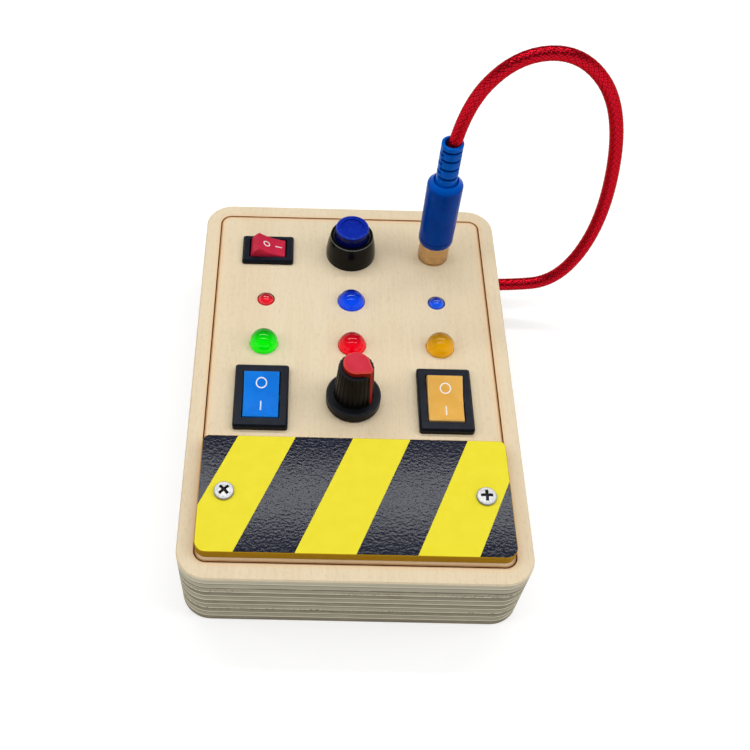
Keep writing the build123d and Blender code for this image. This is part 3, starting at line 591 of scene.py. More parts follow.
@dataclass(frozen=True)
class HazardPaint:
    """Yellow board with slanted bands of glossy, crinkled black film on its upper face, and painted shade
    on its other faces.
    """

    name: str
    width: float
    near_y: float
    length: float
    period_share: float = 0.3795
    start_share: float = 0.12
    slant_share: float = 0.187
    yellow: Colour = (0.85, 0.74, 0.030)
    yellow_second: Colour = (0.83, 0.715, 0.024)
    # Painted shade for the faces that don't face up.
    shaded_edge_yellow: Colour = (0.44, 0.235, 0.0)
    black: Colour = (0.010, 0.0120, 0.026)
    scuff: Colour = (0.035, 0.037, 0.048)
    roughness: float = 0.44
    film_gloss: float = 0.37
    film_depth: float = 0.034
    shine: float = 0.135

    def material(self) -> Material:
        """Write the finish.

        Returns:
            The material.
        """
        sheet = ShaderSheet.named(self.name)
        across = sheet.x / self.width + 0.5
        depth = (sheet.y - self.near_y) / self.length
        phase = (across - depth * self.slant_share - self.start_share) / self.period_share
        top = sheet.up.ramp(0.75, 0.9)
        band = (phase.fraction() < 0.5) & top
        crinkle = sheet.noise((1.0, 1.35, 0.9), 2.5, 2.0)
        grain = sheet.cells(2.0, "SMOOTH_F1")
        relief = crinkle * 0.7 + grain * 0.3
        brushed = sheet.noise((0.25, 0.25, 0.25), 3.0, 6.0)
        worn = sheet.noise((1.6, 1.6, 1.6), 2.0, 8.0).ramp(0.66, 0.85)
        paint = sheet.mix(brushed.ramp(0.3, 0.7), self.yellow, self.yellow_second)
        # Painted shade: faces that don't face up take a darker ochre.
        paint = sheet.mix(top, self.shaded_edge_yellow, paint)
        film = sheet.mix(worn * 0.6, self.black, self.scuff)
        return sheet.finish(
            Base_Color=sheet.mix(band, paint, film),
            Roughness=self.roughness - band * self.film_gloss + brushed * 0.04,
            Normal=sheet.bump(relief * band + brushed * 0.02, self.film_depth),
            Specular_IOR_Level=self.shine,
        )


@dataclass(frozen=True)
class RingMark:
    """Printed circle."""

    x: float
    y: float
    radius: float
    stroke: float
    edge_shares: Tuple[float, float] = (0.42, 0.58)

    def mask(self, sheet: ShaderSheet) -> Signal:
        """Mark the printed surface.

        Args:
            sheet: The node sheet.

        Returns:
            One on the printed line, and zero beside it.
        """
        dx = sheet.x - self.x
        dy = sheet.y - self.y
        off = abs((dx * dx + dy * dy).root() - self.radius)
        return ~off.ramp(*[self.stroke * share for share in self.edge_shares])


@dataclass(frozen=True)
class BarMark:
    """Printed bar."""

    x: float
    y: float
    width: float
    length: float
    blur: float = 0.05

    def mask(self, sheet: ShaderSheet) -> Signal:
        """Mark the printed surface.

        Args:
            sheet: The node sheet.

        Returns:
            One on the printed bar, and zero beside it.
        """
        over_x = abs(sheet.x - self.x) - self.width / 2
        over_y = abs(sheet.y - self.y) - self.length / 2
        return ~(over_x | over_y).ramp(-self.blur, self.blur)


@dataclass(frozen=True)
class Plastic:
    """Moulded plastic with a fine skin, faint flow marks and handling gloss; optional painted light towards
    the top, painted shade in recesses and on faces that don't face up, painted highlights on eased faces,
    and a painted band just under the top.
    """

    name: str
    colour: Colour
    second: Colour
    roughness: float = 0.35
    skin: float = 0.012
    skin_frequency: float = 5.0
    shine: float = 0.25
    marks: Tuple[Union[RingMark, BarMark], ...] = ()
    # Painted shade: the colour of faces that don't face up.
    side: Optional[Colour] = None
    # Painted highlight on eased, sloping faces, varied a little by a rub noise.
    worn: Optional[Colour] = None
    # Painted light: a lighter colour that the upper part takes, easing in from a given height.
    lit_top: Optional[Colour] = None
    lit_top_from: float = 0.0
    lit_top_ease: float = 2.5
    # Painted shade: a darker colour in recesses marked by a mesh attribute.
    shaded_recess: Optional[Colour] = None
    sunk_name: str = "slot_depth"
    # Painted band on upright faces just under the top: a painted highlight line, or the top's colour
    # carried down over the painted side shade.
    rim: Optional[Colour] = None
    rim_from: float = 0.0
    rim_ease: float = 0.15
    print_colour: Colour = (0.90, 0.92, 0.94)
    print_share: float = 0.85
    print_height: float = 2.0

    def material(self) -> Material:
        """Write the finish.

        Returns:
            The material.
        """
        sheet = ShaderSheet.named(self.name)
        flow = sheet.noise((0.22, 0.22, 0.22), 3.0, 1.0)
        skin = sheet.noise((self.skin_frequency,) * 3, 2.0, 3.0)
        rub = sheet.noise((0.9, 0.9, 0.9), 4.0, 7.0).ramp(0.42, 0.72)
        colour = sheet.mix(flow.ramp(0.3, 0.7), self.colour, self.second)
        # Painted light, lighter towards the top.
        if self.lit_top:
            lit_top_share = sheet.z.ramp(self.lit_top_from, self.lit_top_from + self.lit_top_ease)
            colour = sheet.mix(lit_top_share, colour, self.lit_top)
        # Painted shade in the recesses.
        if self.shaded_recess:
            depth = sheet.add("ShaderNodeAttribute", {"attribute_name": self.sunk_name}, output="Fac")
            colour = sheet.mix(depth.ramp(0.3, 1.0), colour, self.shaded_recess)
        # Painted shade on faces that don't face up.
        if self.side:
            colour = sheet.mix(sheet.up.ramp(0.1, 0.6), self.side, colour)
        # Painted highlight on eased faces, varied by the rub noise.
        if self.worn:
            edge_highlight_mask = sheet.up.ramp(0.25, 0.5) & ~sheet.up.ramp(0.80, 0.96)
            colour = sheet.mix(edge_highlight_mask * (0.55 + rub * 0.45), colour, self.worn)
        # Painted band on upright faces just under the top.
        if self.rim:
            lip = sheet.z.ramp(self.rim_from, self.rim_from + self.rim_ease) & ~sheet.up.ramp(0.5, 0.8)
            colour = sheet.mix(lip, colour, self.rim)
        relief = skin
        if self.marks:
            printed = self.marks[0].mask(sheet)
            for mark in self.marks[1:]:
                printed = printed | mark.mask(sheet)
            printed = printed * sheet.up.ramp(0.5, 0.7)
            colour = sheet.mix(printed * self.print_share, colour, self.print_colour)
            relief = skin - printed * self.print_height
        return sheet.finish(
            Base_Color=colour,
            Roughness=self.roughness + rub * 0.10 - 0.03,
            Normal=sheet.bump(relief, self.skin),
            Specular_IOR_Level=self.shine,
        )


@dataclass(frozen=True)
class Metal:
    """Turned or pressed metal with fine tool lines and a little tarnish."""

    name: str
    colour: Colour
    tarnish: Colour
    roughness: float = 0.25
    lines: Triple = (0.3, 0.3, 9.0)
    tarnish_share: float = 0.4
    line_gloss: float = 0.14
    line_depth: float = 0.006

    def material(self) -> Material:
        """Write the finish.

        Returns:
            The material.
        """
        sheet = ShaderSheet.named(self.name)
        tool = sheet.noise(self.lines, 3.0, 2.0)
        cloud = sheet.noise((0.6, 0.6, 0.6), 4.0, 5.0).ramp(0.38, 0.75)
        return sheet.finish(
            Base_Color=sheet.mix(cloud * self.tarnish_share, self.colour, self.tarnish),
            Metallic=1.0,
            Roughness=self.roughness + tool * self.line_gloss - 0.05 + cloud * 0.06,
            Normal=sheet.bump(tool, self.line_depth),
        )


@dataclass(frozen=True)
class ScrewSteel:
    """Bright plated screw with painted shade in its cross recess and a painted dark outline at the head's
    edge.
    """

    name: str
    seat_x: float
    seat_y: float
    top_z: float
    head_radius: float
    recess_reach: float
    recess_from: float
    recess_ease: float = 0.1
    rim_share: float = 0.86
    plate: Colour = (0.94, 0.94, 0.94)
    plate_second: Colour = (0.74, 0.75, 0.77)
    # Painted shade: a dark outline at the head's rolled edge.
    rim: Colour = (0.10, 0.10, 0.11)
    # Painted shade in the cross recess.
    recess_shade: Colour = (0.010, 0.010, 0.012)

    def material(self) -> Material:
        """Write the finish.

        Returns:
            The material.
        """
        sheet = ShaderSheet.named(self.name)
        dx = abs(sheet.x) - self.seat_x
        dy = sheet.y - self.seat_y
        off = (dx * dx + dy * dy).root()
        depth = self.top_z - sheet.z
        # Painted shade: the cross recess is painted dark, less metallic and rougher.
        shaded_recess = depth.ramp(self.recess_from, self.recess_from + self.recess_ease) & (off < self.recess_reach)
        # Painted shade towards the head's edge.
        rim = off.ramp(self.head_radius * self.rim_share, self.head_radius) * 0.8
        tool = sheet.noise((1.6, 1.6, 1.6), 4.0, 2.0)
        bright = sheet.mix(tool.ramp(0.35, 0.7), self.plate, self.plate_second)
        bright = sheet.mix(rim, bright, self.rim)
        return sheet.finish(
            Base_Color=sheet.mix(shaded_recess, bright, self.recess_shade),
            Metallic=0.3 - shaded_recess * 0.25,
            Roughness=0.34 + tool * 0.12 + shaded_recess * 0.3,
            Normal=sheet.bump(tool, 0.008),
        )


@dataclass(frozen=True)
class LampLens:
    """Tinted lens with painted light: painted brighter, with a painted glow, towards its front and low
    side, and painted shade at its back, top and foot.
    """

    name: str
    bright: Colour
    shade_tint: Colour
    # Strength of the painted glow.
    glow: float
    centre: Vector
    radius: float
    shine: float

    def material(self) -> Material:
        """Write the finish.

        Returns:
            The material.
        """
        sheet = ShaderSheet.named(self.name)
        swirl = sheet.noise((0.5, 0.5, 0.5), 2.0, 4.0)
        forward = (self.centre.y - sheet.y) / self.radius
        height = (sheet.z - self.centre.z) / self.radius
        # Painted light and shade: brighter towards the front and low down, darker at the back and top.
        lit_share = (forward * 0.8 - height * 0.55 + swirl * 0.3 - 0.15).ramp(-1.1, 0.5)
        # Painted shade round the foot, where the dome meets the panel.
        foot = ~(height * self.radius).ramp(-0.1, 0.7) * 0.6
        tint = sheet.mix(lit_share, self.shade_tint, self.bright)
        return sheet.finish(
            Base_Color=sheet.mix(foot, tint, self.shade_tint),
            Roughness=0.05 + swirl * 0.06,
            Specular_IOR_Level=self.shine,
            # Painted glow, strongest where the painted light is.
            Emission_Color=sheet.mix(lit_share, UNLIT, self.bright),
            Emission_Strength=self.glow,
            Normal=sheet.bump(swirl, 0.006),
        )


@dataclass(frozen=True)
class BraidYarn:
    """Shiny yarn with painted glints, and painted shade where one strand dips under another."""

    name: str
    bright: Colour = (0.62, 0.007, 0.021)
    # Painted shade in the hollows between strands.
    shade_tint: Colour = (0.06, 0.0, 0.001)
    glint: Colour = (0.90, 0.06, 0.09)
    edge_tint: Colour = (0.40, 0.02, 0.03)
    glint_share: float = 0.2
    metallic: float = 0.78
    roughness: float = 0.20
    fibre_depth: float = 0.008
    shine: float = 0.1
    height_name: str = "strand_height"

    def material(self) -> Material:
        """Write the finish.

        Returns:
            The material.
        """
        sheet = ShaderSheet.named(self.name)
        height = sheet.add("ShaderNodeAttribute", {"attribute_name": self.height_name}, output="Fac")
        fibre = sheet.noise((7.0, 7.0, 7.0), 3.0, 2.0)
        # Painted shade in the hollows between strands.
        body = sheet.mix(height.ramp(0.34, 0.88), self.shade_tint, self.bright)
        return sheet.finish(
            # Painted glints, scattered by a fibre noise.
            Base_Color=sheet.mix(fibre.ramp(0.45, 0.8) * self.glint_share, body, self.glint),
            Metallic=self.metallic,
            Roughness=self.roughness + fibre * 0.08,
            Normal=sheet.bump(fibre, self.fibre_depth),
            Specular_IOR_Level=self.shine,
            Specular_Tint=self.edge_tint,
        )


@dataclass(frozen=True)
class CellJacket:
    """Printed cell jacket: a dark body with a plain copper band towards the nub."""

    name: str
    centre_y: float
    band_from: float
    dark: Colour = (0.035, 0.037, 0.042)
    copper: Colour = (0.55, 0.27, 0.11)
    bare: Colour = (0.62, 0.62, 0.63)

    def material(self) -> Material:
        """Write the finish.

        Returns:
            The material.
        """
        sheet = ShaderSheet.named(self.name)
        facing = (sheet.y > self.centre_y) * 2.0 - 1.0
        band = sheet.x * facing > self.band_from
        end = abs(sheet.facing[0]).ramp(0.6, 0.8)
        scuff = sheet.noise((0.4, 1.5, 1.5), 4.0, 2.0)
        jacket = sheet.mix(band, self.dark, self.copper)
        return sheet.finish(
            Base_Color=sheet.mix(end, jacket, self.bare),
            Metallic=end * 0.6 + band * 0.4,
            Roughness=0.28 + scuff * 0.2,
        )


@dataclass
class WoodenBox:
    """Laminated box: base, body ring, rim and inset panel."""

    panel_corner: float = 3.0

    def build(self) -> None:
        """Dress the four wooden pieces."""
        _, panel_size = node_box("control_panel")
        half = (panel_size.x / 2, panel_size.y / 2)
        joints = (top_of("body_frame"),)
        cuts = {
            "base_plate": (Cut.SANDED, 21.0, 0.0),
            "body_frame": (Cut.SANDED, 33.0, 0.0),
            "top_rim": (Cut.RIM, 3.0, 0.4),
            "control_panel": (Cut.BURNT, 3.0, 0.0),
        }
        for node, (cut, seed, lift) in cuts.items():
            finish = Plywood(f"ply_{node}", cut, half, self.panel_corner, joints, lift=lift, seed=seed)
            dress(finish.material(), node)


@dataclass
class BatteryBay:
    """Striped cover with its screws, and the tray with two cells under it."""

    recess_reach: float = 1.65
    recess_from: float = 0.32
    copper_band: float = 8.0
    spring_length: float = 4.0
    spring_tip: float = 2.2
    spring_wire: float = 0.6
    spring_turns: int = 4

    def build(self) -> None:
        """Dress the cover, the screws and the battery compartment."""
        centre, size = node_box("battery_cover")
        near_y = centre.y - size.y / 2
        dress(HazardPaint("hazard_paint", size.x, near_y, size.y).material(), "battery_cover")
        screws, spread = node_box("cover_screws")
        head_radius = spread.y / 2
        steel = ScrewSteel(
            "screw_steel",
            seat_x=spread.x / 2 - head_radius,
            seat_y=screws.y,
            top_z=top_of("cover_screws"),
            head_radius=head_radius,
            recess_reach=self.recess_reach,
            recess_from=self.recess_from,
        )
        dress(steel.material(), "cover_screws")
        tray = Plastic("tray_plastic", (0.016, 0.016, 0.018), (0.024, 0.024, 0.027), 0.45)
        dress(tray.material(), "battery_tray")
        cells, _ = node_box("battery_cells")
        dress(CellJacket("cell_jacket", cells.y, self.copper_band).material(), "battery_cells")
        spring = Metal("spring_plate", (0.66, 0.66, 0.67), (0.45, 0.44, 0.42), 0.3).material()
        dress(spring, "battery_contacts")
        self.wind_springs(spring)

    def wind_springs(self, metal: Material) -> None:
        """Wind the cone spring at the flat end of each cell.

        Args:
            metal: Finish of the springs.
        """
        centre, size = node_box("battery_springs")
        radius = size.z / 2
        for way in (-1.0, 1.0):
            foot = centre + Vector((way * size.x / 2, way * (radius - size.y / 2), 0.0))
            tip = foot - Vector((way * self.spring_length, 0.0, 0.0))
            coil = WireCoil(foot, tip, radius, self.spring_tip, self.spring_wire, self.spring_turns)
            name = "right_cell_spring" if way > 0 else "left_cell_spring"
            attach(new_piece(name, coil.mesh(name), metal, "battery_springs"), "box")


@dataclass
class RockerSwitch:
    """Snap-in rocker switch: housing, paddle with its two printed marks, and contacts."""

    name: str
    colour: Colour
    second: Colour
    ring_offset: float
    bar_offset: float
    ring_radius: float = 1.40
    bar_length: float = 2.9
    stroke: float = 0.34
    along_x: bool = False
    # Colour of the painted highlight on the paddle's eased edges.
    edge: Optional[Colour] = None

    def marks(self) -> Tuple[RingMark, BarMark]:
        """Ring on the raised end and bar on the pressed end.

        Returns:
            The two marks, at their places on the panel.
        """
        housing, _ = node_box(f"{self.name}_housing")
        if self.along_x:
            ring = RingMark(housing.x - self.ring_offset, housing.y, self.ring_radius, self.stroke)
            return ring, BarMark(housing.x + self.bar_offset, housing.y, self.bar_length, self.stroke)
        ring = RingMark(housing.x, housing.y + self.ring_offset, self.ring_radius, self.stroke)
        return ring, BarMark(housing.x, housing.y - self.bar_offset, self.stroke, self.bar_length)

    def build(self, shell: Material, contact: Material) -> None:
        """Dress the switch.

        Args:
            shell: Finish of the housing.
            contact: Finish of the blade and the terminals.
        """
        dress(shell, f"{self.name}_housing")
        paddle = Plastic(
            f"{self.name}_paddle",
            self.colour,
            self.second,
            roughness=0.42,
            skin=0.006,
            skin_frequency=4.0,
            shine=0.10,
            marks=self.marks(),
            # Painted highlight on the paddle's eased edges.
            worn=self.edge,
        )
        dress(paddle.material(), f"{self.name}_paddle")
        dress(contact, f"{self.name}_blade", f"{self.name}_terminals")


@dataclass
class PushButton:
    """Round push button with a tapered collar and a dished blue cap."""

    cap: Colour = (0.002, 0.017, 0.33)
    cap_second: Colour = (0.003, 0.026, 0.40)
    # Painted shade on the cap's sides, and a painted highlight on its eased edge.
    cap_shaded_side: Colour = (0.0005, 0.003, 0.080)
    cap_edge_highlight: Colour = (0.020, 0.090, 0.62)
    cap_lip: float = 0.45
    collar: Colour = (0.003, 0.003, 0.003)
    collar_second: Colour = (0.005, 0.005, 0.005)
    # Painted highlights on the collar's eased faces and on the band under its top.
    collar_edge_highlight: Colour = (0.10, 0.10, 0.11)
    collar_rim_highlight: Colour = (0.16, 0.17, 0.18)
    collar_lip: float = 0.4
    spring_wire: float = 0.5
    spring_turns: int = 8
    travel: float = 2.5

    def build(self, metal: Material, contact: Material) -> None:
        """Dress the button.

        Args:
            metal: Finish of the spring, washer and nut.
            contact: Finish of the contact disc and terminals.
        """
        collar = Plastic(
            "collar_plastic",
            self.collar,
            self.collar_second,
            roughness=0.16,
            skin=0.002,
            skin_frequency=3.0,
            shine=0.13,
            # Painted highlights on the eased faces and on the band under the top.
            worn=self.collar_edge_highlight,
            rim=self.collar_rim_highlight,
            rim_from=top_of("button_collar") - self.collar_lip,
        )
        dress(collar.material(), "button_collar")
        cap = Plastic(
            "cap_plastic",
            self.cap,
            self.cap_second,
            roughness=0.26,
            skin=0.0012,
            skin_frequency=4.0,
            shine=0.12,
            # Painted shade on the sides, a painted highlight on the eased edge, and the top's colour
            # carried down over the upper sides.
            side=self.cap_shaded_side,
            worn=self.cap_edge_highlight,
            rim=self.cap,
            rim_from=top_of("button_cap") - self.cap_lip,
        )
        dress(cap.material(), "button_cap")
        stem = Plastic("stem_plastic", (0.74, 0.74, 0.72), (0.66, 0.66, 0.64), 0.4)
        dress(stem.material(), "button_stem", "plug_insulator")
        base = Plastic("base_plastic", (0.02, 0.02, 0.02), (0.03, 0.028, 0.026), 0.5)
        dress(base.material(), "button_base", "jack_insulator", "cord_tie")
        dress(metal, "button_washer", "button_nut")
        dress(contact, "button_contact", "button_terminals")
        self.wind_spring(metal)

    def wind_spring(self, metal: Material) -> None:
        """Wind the return spring.

        Args:
            metal: Finish of the spring.
        """
        centre, size = node_box("button_spring")
        rise = Vector((0.0, 0.0, size.z / 2))
        foot, radius = centre - rise, size.x / 2
        coil = WireCoil(foot, centre + rise, radius, radius, self.spring_wire, self.spring_turns)
        name = "return_spring"
        piece = new_piece(name, coil.mesh(name), metal, "button_spring")
        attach(piece, "box")
        keep = 1.0 - self.travel / size.z
        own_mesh(piece)


@dataclass
class TurnKnob:
    """Fluted knob with a red pointer, on its potentiometer."""

    red: Colour = (0.64, 0.035, 0.062)
    red_second: Colour = (0.56, 0.024, 0.046)
    # Painted shade on the pointer's sides, and a painted highlight on its eased edge.
    red_shaded_side: Colour = (0.27, 0.009, 0.005)
    red_edge_highlight: Colour = (0.78, 0.085, 0.055)
    black: Colour = (0.005, 0.0055, 0.0075)
    black_second: Colour = (0.008, 0.0085, 0.011)
    # Painted shade on the knob's sides, and painted highlights on its eased faces.
    black_shaded_side: Colour = (0.003, 0.003, 0.003)
    black_edge_highlight: Colour = (0.022, 0.024, 0.030)

    def build(self, metal: Material) -> None:
        """Dress the knob and what carries it.

        Args:
            metal: Finish of the bushing, can, shaft, washer, nut and lugs.
        """
        body = Plastic(
            "knob_plastic",
            self.black,
            self.black_second,
            roughness=0.36,
            skin=0.012,
            skin_frequency=6.0,
            shine=0.11,
            # Painted shade on the sides, painted highlights on the eased faces.
            side=self.black_shaded_side,
            worn=self.black_edge_highlight,
        )
        dress(body.material(), "knob")
        pointer = Plastic(
            "pointer_plastic",
            self.red,
            self.red_second,
            roughness=0.42,
            skin=0.008,
            skin_frequency=6.0,
            shine=0.06,
            # Painted shade on the sides, a painted highlight on the eased edge.
            side=self.red_shaded_side,
            worn=self.red_edge_highlight,
        )
        dress(pointer.material(), "knob_pointer")
        board = Plastic("phenolic_board", (0.26, 0.12, 0.05), (0.20, 0.09, 0.035), 0.55, 0.02, 3.0)
        dress(board.material(), "pot_wafer", "pot_wiper")
        dress(metal, "pot_bushing", "pot_can", "pot_shaft", "pot_washer", "pot_nut", "pot_lugs")


class LampColour(Enum):
    """Bright tint, painted shade tint, painted glow strength and shine of each lamp."""

    RED = ((0.80, 0.0, 0.012), (0.30, 0.0, 0.002), 0.4, 0.30)
    GREEN = ((0.0, 0.78, 0.0), (0.0, 0.18, 0.001), 0.5, 0.30)
    BLUE = ((0.0, 0.055, 0.72), (0.0, 0.008, 0.20), 0.45, 0.30)
    AMBER = ((0.78, 0.365, 0.0), (0.27, 0.125, 0.0), 0.27, 0.30)
    SMALL_RED = ((0.78, 0.004, 0.018), (0.24, 0.0, 0.003), 0.28, 0.7)
    SMALL_BLUE = ((0.0, 0.075, 0.72), (0.0, 0.008, 0.18), 0.34, 0.7)


@dataclass
class Lamp:
    """Domed lamp in the panel."""

    node: str
    tint: LampColour

    def build(self) -> None:
        """Dress the lens from its seat on the panel to its crown."""
        centre, _ = node_box(self.node)
        seat = Vector((centre.x, centre.y, top_of("control_panel")))
        radius = top_of(self.node) - seat.z
        bright, shade_tint, glow, shine = self.tint.value
        lens = LampLens(f"{self.node}_lens", bright, shade_tint, glow, seat, radius, shine)
        dress(lens.material(), self.node)


@dataclass
class SocketAndPlug:
    """Phono socket and the plug on it, whose strain relief has slots from two sides in turn."""

    blue: Colour = (0.0, 0.040, 0.29)
    blue_second: Colour = (0.0, 0.052, 0.35)
    # Painted light: the plug's upper part, from the share of its height below, is painted a lighter blue.
    lit_top_blue: Colour = (0.0, 0.110, 0.58)
    relief_share: float = 0.58
    skirt_gap: float = 0.05
    neck_radius: float = 4.05
    neck_length: float = 6.0
    cavity_radius: float = 3.9
    radius: float = 5.2
    lip: float = 0.25
    lip_height: float = 0.5
    band_top: float = 1.9
    groove: float = 0.15
    shoulder: float = 22.3
    shoulder_ease: float = 0.35
    moat: Tuple[float, float] = (3.7, 24.0)
    moat_floor: float = 23.1
    relief_radius: float = 3.1
    relief_bore: float = 2.3
    slot_floor: float = 2.36
    # Painted shade on the floors of the slots.
    slot_shade_blue: Colour = (0.0, 0.006, 0.085)
    slot_half: float = 0.45
    slot_edge: float = 0.03
    front_slots: Tuple[float, ...] = (26.33, 29.60, 32.68, 35.70)
    side_slots: Tuple[float, ...] = (27.97, 31.14, 34.20)
    front_reach: float = 62.0
    side_reach: float = 40.0
    uncut: float = 2.0
    sides: int = 96
    sharp_angle: float = 30.0

    def outline(self, neck_top: float, height: float) -> List[Tuple[float, float]]:
        """List the turned outline below the slots' own rings.

        Args:
            neck_top: Height of the skirt's neck over the shell's foot.
            height: Height of the shell.

        Returns:
            Radius and height of each ring, up the outside and down the inside.
        """
        ease = self.shoulder_ease
        bore = node_box("plug_skirt")[1].x / 2 + self.skirt_gap
        web_top = neck_top - self.neck_length
        outside = [
            (bore, 0.0),
            (self.radius - self.lip, 0.0),
            (self.radius, self.lip_height),
            (self.radius, self.band_top),
            (self.radius - self.groove, self.band_top),
            (self.radius - self.groove, self.band_top + self.groove),
            (self.radius, self.band_top + 2 * self.groove),
            (self.radius, self.shoulder - ease),
            (self.radius - ease / 4, self.shoulder + ease / 4),
            (self.radius - ease, self.shoulder + ease),
            self.moat,
            (self.relief_radius, self.moat_floor),
        ]
        inside = [
            (self.relief_radius, height - 2 * self.lip / 3),
            (self.relief_radius - self.lip, height),
            (self.relief_bore, height),
            (self.relief_bore, self.shoulder),
            (self.cavity_radius, self.shoulder - self.lip_height),
            (self.cavity_radius, neck_top),
            (self.neck_radius, neck_top),
            (self.neck_radius, web_top),
            (bore, web_top),
        ]
        return outside + inside

    def slot_rings(self) -> List[Tuple[float, float]]:
        """List the rings of the slots.

        Returns:
            Height of each ring, and the least share of a radius that its slot takes in: above zero for the
            front and back, below zero for the sides, and uncut, which is out of reach, for a plain ring.
        """
        rings: List[Tuple[float, float]] = []
        front, side = [math.cos(math.radians(reach)) for reach in (self.front_reach, self.side_reach)]
        slots = [(place, front) for place in self.front_slots]
        slots += [(place, -side) for place in self.side_slots]
        for place, window in sorted(slots):
            low, high = place - self.slot_half, place + self.slot_half
            rings += [(low, self.uncut), (low + self.slot_edge, window)]
            rings += [(high - self.slot_edge, window), (high, self.uncut)]
        return rings

    def mould_shell(self, material: Material) -> Object:
        """Make the plug's shell.

        Args:
            material: Its finish.

        Returns:
            The shell.
        """
        centre, size = node_box("plug_shell")
        foot = Vector((centre.x, centre.y, centre.z - size.z / 2))
        neck_top = top_of("plug_skirt") - foot.z
        outline = [(radius, height, self.uncut) for radius, height in self.outline(neck_top, size.z)]
        slots = [(self.relief_radius, height, window) for height, window in self.slot_rings()]
        after = next(at for at, ring in enumerate(outline) if ring[1] == self.moat_floor) + 1
        rings = outline[:after] + slots + outline[after:]
        vertices: List[Vector] = []
        depths: List[float] = []
        for radius, height, window in rings:
            for step in range(self.sides):
                angle = 2 * math.pi * step / self.sides
                across, ahead = math.cos(angle), math.sin(angle)
                cut = abs(ahead) > window if window > 0 else abs(across) > -window
                reach = self.slot_floor if cut else radius
                vertices.append((foot + Vector((across * reach, ahead * reach, height))) * MM)
                depths.append(float(cut))
        mesh = bpy.data.meshes.new("slotted_shell")
        mesh.from_pydata(vertices, [], tube_faces(len(rings), self.sides, hollow=True))
        mesh.attributes.new("slot_depth", "FLOAT", "POINT").data.foreach_set("value", depths)
        shell = new_piece("slotted_shell", mesh, material, "plug_shell")
        mesh.set_sharp_from_angle(angle=math.radians(self.sharp_angle))
        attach(shell, "plug")
        return shell

    def build(self, metal: Material, contact: Material) -> Object:
        """Dress the socket and the plug.

        Args:
            metal: Finish of the nut and the lug.
            contact: Finish of the pin and the socket's tube.

        Returns:
            The plug's shell.
        """
        skirt = Metal("skirt_brass", (0.62, 0.41, 0.21), (0.42, 0.24, 0.10), 0.24, (0.3, 0.3, 7.0))
        dress(skirt.material(), "plug_skirt", "jack_barrel")
        low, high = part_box("plug_shell")
        blue = Plastic(
            "plug_plastic",
            self.blue,
            self.blue_second,
            roughness=0.13,
            skin=0.0015,
            skin_frequency=3.0,
            shine=0.05,
            # Painted light towards the top, and painted shade in the slots.
            lit_top=self.lit_top_blue,
            shaded_recess=self.slot_shade_blue,
            lit_top_from=(low.z + (high.z - low.z) * self.relief_share) / MM,
        )
        dress(metal, "jack_lug", "jack_nut")
        dress(contact, "plug_pin", "jack_contact")
        return self.mould_shell(blue.material())


